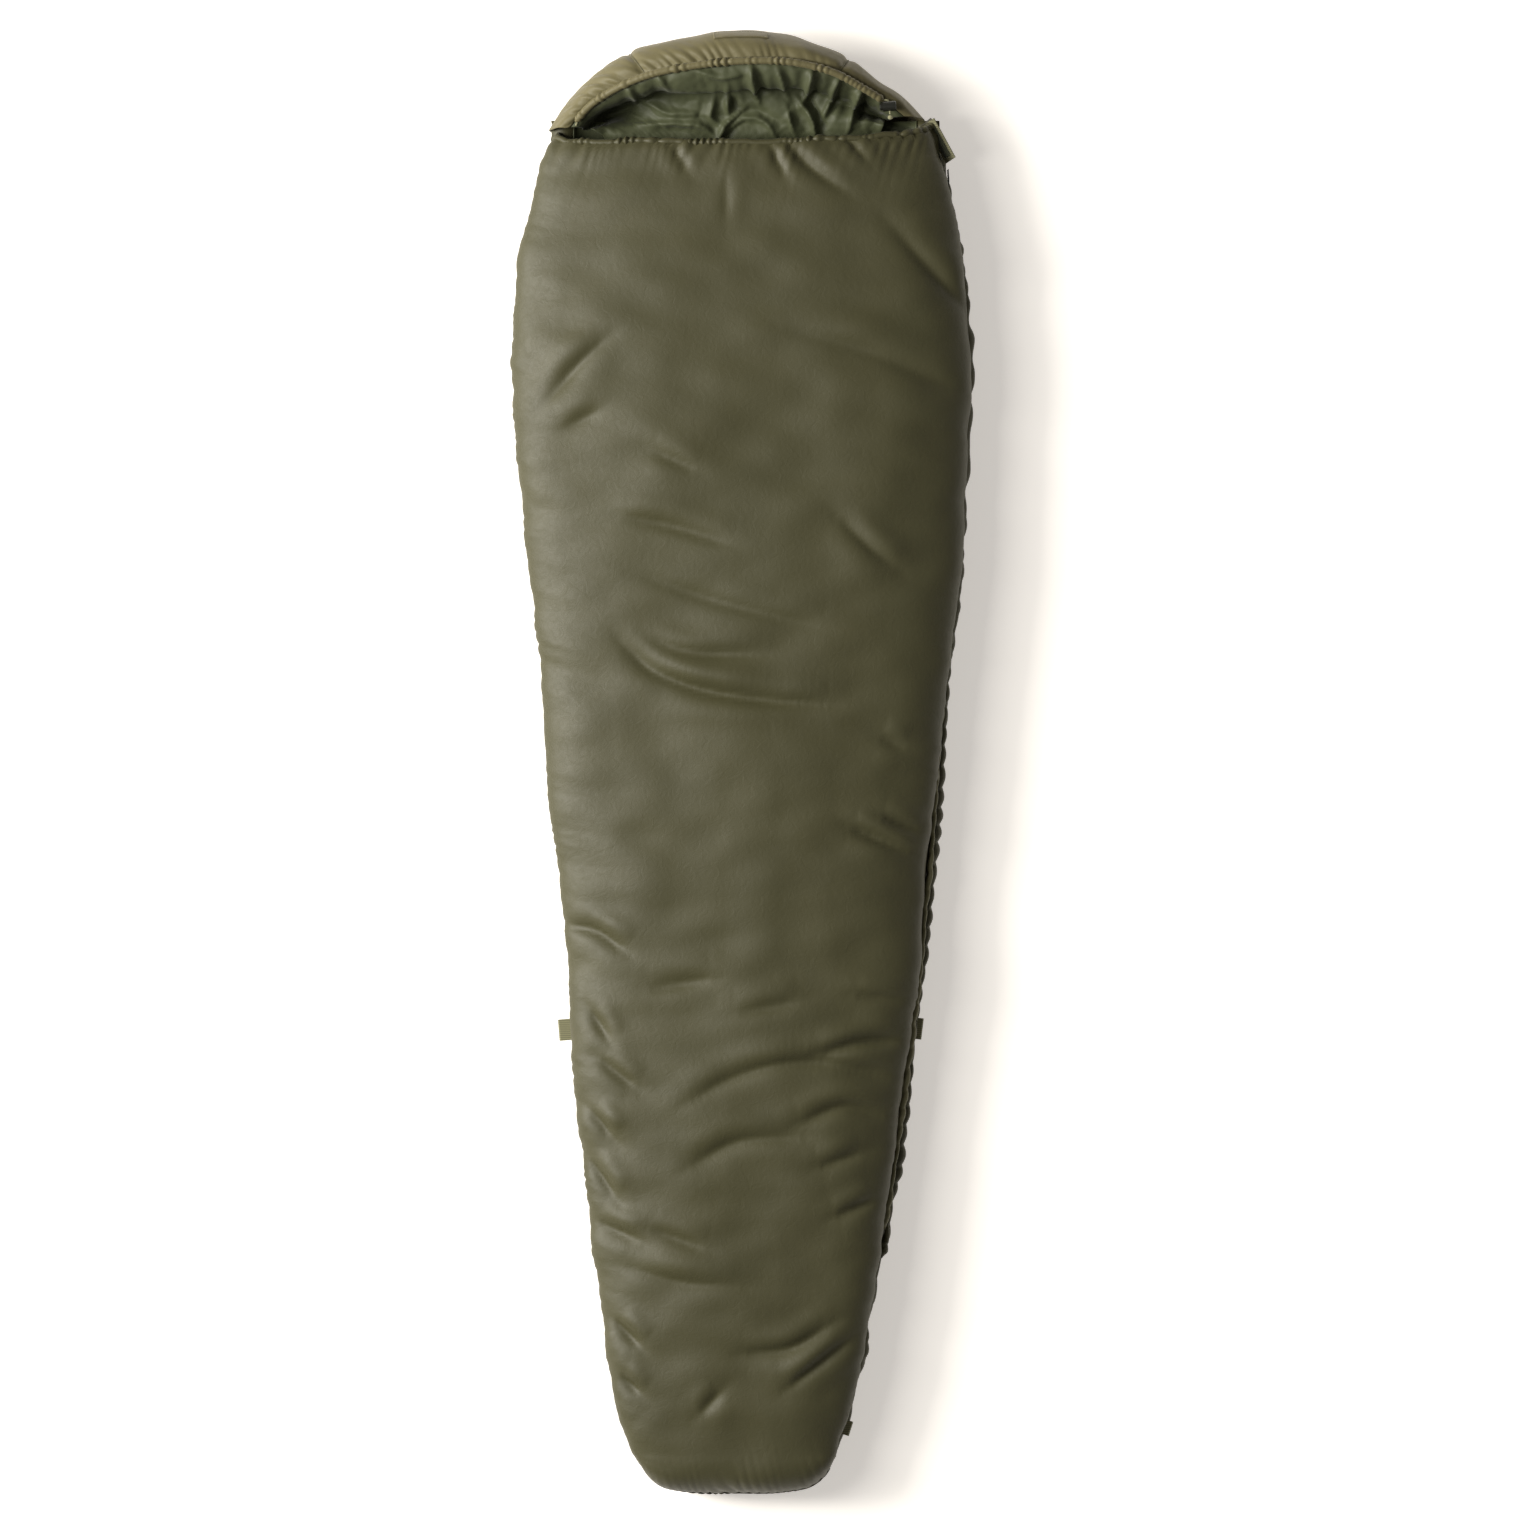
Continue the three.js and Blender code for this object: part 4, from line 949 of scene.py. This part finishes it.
def make_hood_lining():
    """The soft lining: a thick roll under the rim, and the folded floor inside the neck."""
    outside, rim, inward, reach = hood_lines(LINING_STATIONS)
    z = rim[:, 2]
    t = np.linspace(0, 1, LINING_STATIONS)
    roll = through([0, 0.12, 0.26, 0.36, 0.60, 0.74, 0.90, 1],
                   [0.0, 0.10, 0.50, 1.0, 0.95, 0.75, 0.35, 0.05])(t)
    dip = 0.030 * bump(t, 0.13, 0.10)
    places = [(0.001, z - 0.002), (0.009, z - 0.0005 + 0.002 * roll),
              (0.015 + 0.012 * roll, z - 0.006 + 0.001 * roll), (0.018 + 0.022 * roll, z - 0.021),
              (0.019 + 0.013 * roll, np.maximum(z - 0.040, 0.052) - dip),
              (0.026 + 0.010 * roll, np.maximum(z - 0.056, 0.050) - dip)]
    controls = [inward_line(outside, inward, reach + beyond, height) for beyond, height in places]
    front, inside, deep = (
        np.stack([lerp(left, right, t), 0 * t + y, 0 * t + height], 1)
        for left, right, y, height in ((-0.216, 0.206, 0.952, 0.068), (-0.205, 0.195, 0.915, 0.047),
                                       (-0.200, 0.190, 0.872, 0.0355)))
    crest = lerp(controls[-1], front, 0.5)
    crest[:, 2] = 0.079 - dip * 0.8
    grid = along_sections(controls + [crest, front, inside, deep], LINING_STEPS)[:, ::-1]
    up = normals_of(grid)
    height = crease_height(grid, LINING_FOLDS) + 0.0030 * lumps(grid, 0.055, 41)
    share = np.linspace(1, 0, LINING_STEPS)[None]
    height *= smooth(share / 0.06) * smooth((1 - share) / 0.10) * smooth(t[:, None] / 0.04)
    height *= smooth((1 - t[:, None]) / 0.04)
    grid = grid + up * height[..., None]
    pins = np.full(grid.shape[:2], 0.40)
    pins[0] = pins[-1] = 1
    pins[:, 0] = pins[:, -1] = 1
    grid = doubled(settled(grid, pins, growth=0.06, bending=0.6, soften=1, limit=0.014))
    piece = sheet_body("hood_lining_cloth", grid, CLOTH, LINING)
    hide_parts("hood_lining", "hood_fill")
    return piece


def make_label(surface):
    """A blank woven patch sewn on the back of the hood."""
    rows = np.linspace(0.455, 0.585, 41) * (HOOD_STATIONS - 1)
    columns = np.linspace(0.765, 0.845, 17) * (surface.shape[1] - 1)
    fine = np.stack([np.stack([np.interp(columns, np.arange(surface.shape[1]), row[:, i])
                               for i in range(3)], 1) for row in surface])
    patch = np.stack([np.stack([np.interp(rows, np.arange(len(fine)), fine[:, j, i])
                                for i in range(3)], 1) for j in range(len(columns))], 1)
    patch = patch + normals_of(patch) * PANEL_CLOTH
    piece = sheet_body("label_patch", patch, CLOTH, LABEL)
    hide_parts("hood_label")
    edge = [patch[1, 1:-1], patch[1:-1, -2], patch[-2, 1:-1][::-1], patch[1:-1, 1][::-1]]
    return [piece] + stitches("label_stitch", np.concatenate(edge) + (0, 0, 0.0002))


def stitches(name, line):
    """A row of separate stitches along a line."""
    pitch, thick = 0.0040, 0.00035
    count = int(run_along(line)[-1] / pitch)
    dense = evenly(line, count * 8 + 1)
    parts = []
    for k in range(count):
        arch = dense[k * 8 : k * 8 + 6].copy()
        arch[:, 2] += np.sin(np.linspace(0, np.pi, len(arch))) * thick * 0.8
        parts.append(tube(name, arch, thick, THREAD, sides=6))
    return [joined(name, *parts)]


hood_grid, hood_pieces = make_hood()
hood_pieces.append(make_hood_channel())
hood_pieces.append(make_hood_lining())
hood_pieces += make_label(hood_grid)
for piece in hood_pieces:
    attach(piece, "bag")


# ---------- neck channel ----------
def make_neck_channel():
    """The gathered drawcord channel along the top quilt's neck edge."""
    u = np.linspace(0.045, 0.955, 200)
    y = neck_y(u)
    line = lerp(top_outer(y, u), top_inner(y, u), 0.3) + (0, -0.0030, -0.0005)
    line[:, 1] += 0.0016 * wander(line[:, 0], 52, 0.024)
    piece = gathered_tube("neck_channel", line, 0.0054, 0.0125, 0.0042, SHELL, 51, squash=1.1)
    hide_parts("neck_cord_channel")
    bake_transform(piece)


make_neck_channel()


# ---------- zip ----------
ZIP_CENTRE = Vector(JOINTS["slider_travel"]["pos_m"])
ZIP_RADIUS = (Vector(JOINTS["pull_swing"]["pos_m"]).xy - ZIP_CENTRE.xy).length
ZIP_LOW_Y, ZIP_TOP_Y = -0.690, 0.898
COIL_PITCH = 0.0024


def zip_angles(low, high):
    """Where the zip's arc stands at two values of y."""
    return [math.asin((y - ZIP_CENTRE.y) / ZIP_RADIUS) for y in (low, high)]


def zip_line(z, count, low=ZIP_LOW_Y, high=ZIP_TOP_Y, out=0.0):
    """Points along the zip's arc at a height."""
    angle = np.linspace(*zip_angles(low, high), count)
    r = ZIP_RADIUS + out
    return np.stack([ZIP_CENTRE.x + r * np.cos(angle), ZIP_CENTRE.y + r * np.sin(angle),
                     z + 0 * angle], 1)


def make_tape(name, bottom, top):
    """A woven tape standing on edge beside the coil, with a slight wave."""
    levels = np.linspace(bottom, top, 9)
    rows = zip_line(0, 560)
    wave = 0.0005 * wander(rows[:, 1], 61, 0.035) + 0.0003 * wander(rows[:, 1], 62, 0.012)
    far = np.abs(levels - SEAM_Z) / 0.013
    grid = np.stack([rows + (0, 0, z) for z in levels], 1)
    grid[..., 0] += 0.00045 + wave[:, None] * far[None]
    return sheet_body(name, grid, 0.0009, TAPE)


def make_coil(name, z, turn):
    """Real turns of the zip's coil."""
    start, end = zip_angles(ZIP_LOW_Y, ZIP_TOP_Y)
    turns = int(ZIP_RADIUS * (end - start) / COIL_PITCH)
    line = zip_line(z, turns * 8 + 1)
    angle = np.linspace(0, 2 * np.pi * turns, len(line)) * turn
    path = line + np.stack([0.00090 * np.cos(angle), 0 * angle, 0.00075 * np.sin(angle)], 1)
    return tube(name, path, 0.00030, COIL, sides=4)


def make_binding(name, z, radius, out, material, seed, low, high):
    """The cloth bound round a quilt's edge beside the zip, twisted where it hangs slack."""
    pitch, twist = 0.030, 0.5
    line = zip_line(z, 900, low, high, out)
    y = line[:, 1]
    line[:, 0] += 0.0016 * wander(y, seed, 0.05)
    line[:, 2] += 0.0010 * wander(y, seed + 1, 0.04)
    sides = 14
    angle = np.linspace(0, 2 * np.pi, sides, endpoint=False)[None]
    phase = np.pi * y[:, None] / pitch + 0.8 * wander(y, seed + 2, pitch * 3)[:, None]
    swell = np.abs(np.sin(phase + twist * angle))
    slack = np.clip(0.95 + 0.5 * wander(y, seed + 3, 0.11), 0.55, 1.6)[:, None]
    ends = smooth(np.minimum(y - y[0], y[-1] - y) / 0.012)[:, None]
    r = radius * slack * (0.62 + 0.48 * swell) * (0.3 + 0.7 * ends)
    return tube(name, line, r, material, sides=sides)


lower_tape = make_tape("zip_tape_lower_cloth", SEAM_Z - 0.0130, SEAM_Z - 0.0034)
upper_tape = make_tape("zip_tape_upper_cloth", SEAM_Z + 0.0034, SEAM_Z + 0.0130)
lower_coil = make_coil("zip_coil_lower_turns", SEAM_Z - 0.0019, 1)
upper_coil = make_coil("zip_coil_upper_turns", SEAM_Z + 0.0019, -1)
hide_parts("zip_tape_lower")
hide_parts("zip_coil_lower")
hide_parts("zip_tape_upper", "corner_zip_tape")
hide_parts("zip_coil_upper", "corner_zip_coil")
lower_binding = make_binding("side_binding_lower", SEAM_Z - 0.0160, 0.0074, 0.0012, SHELL, 65,
                             -0.745, 0.560)
upper_binding = make_binding("side_binding_upper", SEAM_Z + 0.0175, 0.0046, -0.0030, THREAD, 66,
                             -0.700, 0.880)
for piece in (lower_tape, lower_coil, lower_binding):
    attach(piece, "bag")
for piece in (upper_tape, upper_coil, upper_binding):
    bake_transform(piece)


# ---------- trims ----------
DRAUGHT_STATIONS = 14


def make_draught_tube():
    """The padded tube inside the zip, sewn to the bottom quilt's side."""
    low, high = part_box("zip_draught_tube")
    corners = np.array([v.co[:] for v in NODES["zip_draught_tube"].data.vertices])
    line = []
    for y in np.linspace(low.y + 0.004, high.y - 0.004, DRAUGHT_STATIONS):
        near = corners[np.argsort(np.abs(corners[:, 1] - y))[:16]]
        line.append(((near[:, 0].min() + near[:, 0].max()) / 2, y, (low.z + high.z) / 2))
    return gathered_tube("draught_tube", path_through(line, 300), 0.0042, 0.026, 0.0016, LINING, 71,
                         squash=0.95)


def squared(value):
    """A sine or cosine, fuller towards 1, for a box with rounded corners."""
    return np.sign(value) * np.abs(value) ** (2 / 2.6)


def pillow(name, low, high, material):
    """A small soft padded piece that fills a box, with slight gathers."""
    centre, half = (low + high) / 2, (high - low) / 2
    rows, count = 41, 80
    tilt = np.linspace(-np.pi / 2, np.pi / 2, rows)[:, None]
    turn = np.linspace(0, 2 * np.pi, count, endpoint=False)[None]
    x = squared(np.cos(tilt)) * squared(np.cos(turn))
    z = squared(np.cos(tilt)) * squared(np.sin(turn))
    y = squared(np.sin(tilt)) + 0 * turn
    shape = np.stack([x, y, z], -1) * np.array(half) + np.array(centre)
    gathers = 0.0006 * np.sin(turn * 11 + 2 * np.sin(tilt * 3))
    shape += np.stack([x, 0 * y, z], -1) * gathers[..., None]
    faces = ring_faces(rows, count)
    faces.append(list(range(count)))
    faces.append([(rows - 1) * count + i for i in range(count - 1, -1, -1)])
    return new_piece(name, shape, faces, material)


FINISHES = (
    (CORD, "hood_drawcord", "neck_drawcord", "drawcord_knot"),
    (BLACK, "cord_lock_barrel", "cord_lock_plunger"),
    (STEEL, "zip_slider", "zip_pull", "zip_stop_bottom", "zip_stop_top_lower",
     "zip_stop_top_upper"),
    (HOOKS, "closure_hook_pad", "corner_loop_pad"),
    (WEBBING, "closure_tab", "side_loop_left", "side_loop_right", "foot_loop"),
)


def finished(piece, material):
    """Gives a CAD mesh its material and smooth shading."""
    piece.data.materials.clear()
    piece.data.materials.append(material)
    for polygon in piece.data.polygons:
        polygon.use_smooth = True


def make_spring():
    """The lock's spring: a steel copy of the CAD spring, with a mesh of its own."""
    old = NODES["cord_lock_spring"]
    piece = bpy.data.objects.new("lock_spring", old.data.copy())
    piece.matrix_world = old.matrix_world.copy()
    bpy.context.scene.collection.objects.link(piece)
    finished(piece, STEEL)
    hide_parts("cord_lock_spring")
    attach(piece, "bag")
    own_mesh(piece)


def finish_nodes():
    """The small CAD pieces that stay: their finish and softened edges."""
    for material, name in ((material, name) for material, *names in FINISHES for name in names):
        piece = NODES[name]
        finished(piece, material)
        bevel = piece.modifiers.new("soft_edges", "BEVEL")
        bevel.width = 0.0004
        bevel.segments = 2
        bevel.limit_method = "ANGLE"
        bevel.angle_limit = math.radians(35)
        normals = piece.modifiers.new("even_shading", "WEIGHTED_NORMAL")
        normals.keep_sharp = True


def make_foot_binding():
    """The gathered binding on the seam round the feet."""
    curve = foot_curve(300)[20:-20]
    line = np.concatenate([curve, np.full((len(curve), 1), SEAM_Z - 0.0015)], 1)
    piece = gathered_tube("foot_binding", line, 0.0030, 0.0120, 0.0018, TAPE, 91)
    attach(piece, "bag")


make_foot_binding()
draught = make_draught_tube()
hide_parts("zip_draught_tube")
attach(draught, "bag")
garage = pillow("zip_garage_cover", *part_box("zip_garage"), SHELL)
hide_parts("zip_garage")
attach(garage, "bag")
finish_nodes()
make_spring()


# ---------- floor and light ----------
FLOOR_REACH = 40
FLOOR_Z = -0.0012  # just under the bag, so that the two don't flicker


def make_stage():
    """A plain pale floor that reaches the horizon and glows a little, as a lit backdrop does."""
    floor_material, _, shader, _ = new_material("floor", 0.9)
    shader.inputs["Base Color"].default_value = (0.95, 0.92, 0.88, 1)
    shader.inputs["Emission Color"].default_value = (1, 0.955, 0.91, 1)
    shader.inputs["Emission Strength"].default_value = 0.46
    corners = [(x * FLOOR_REACH, y * FLOOR_REACH, FLOOR_Z)
               for x, y in ((-1, -1), (1, -1), (1, 1), (-1, 1))]
    floor = new_piece("floor", corners, [[0, 1, 2, 3]], floor_material)


def area_light(name, place, size, power, colour):
    """A rectangular light that faces the bag's middle."""
    data = bpy.data.lights.new(name, "AREA")
    data.shape = "RECTANGLE"
    data.size, data.size_y = size
    data.energy = power
    data.color = colour
    lamp = bpy.data.objects.new(name, data)
    lamp.location = place
    lamp.rotation_euler = (-Vector(place)).to_track_quat("-Z", "Y").to_euler()
    bpy.context.scene.collection.objects.link(lamp)


def make_light():
    world = bpy.data.worlds.new("world")
    world.use_nodes = True
    background = world.node_tree.nodes["Background"]
    background.inputs["Color"].default_value = (1.0, 0.965, 0.90, 1)
    background.inputs["Strength"].default_value = 0.17
    bpy.context.scene.world = world
    area_light("key", (-6.0, 1.2, 3.8), (2.6, 2.6), 600, (1.0, 0.97, 0.91))
    area_light("soft_box", (-3.3, 0.2, 3.9), (1.2, 3.0), 150, (1.0, 0.98, 0.93))
    bpy.context.scene.view_settings.view_transform = "Standard"


make_stage()
make_light()
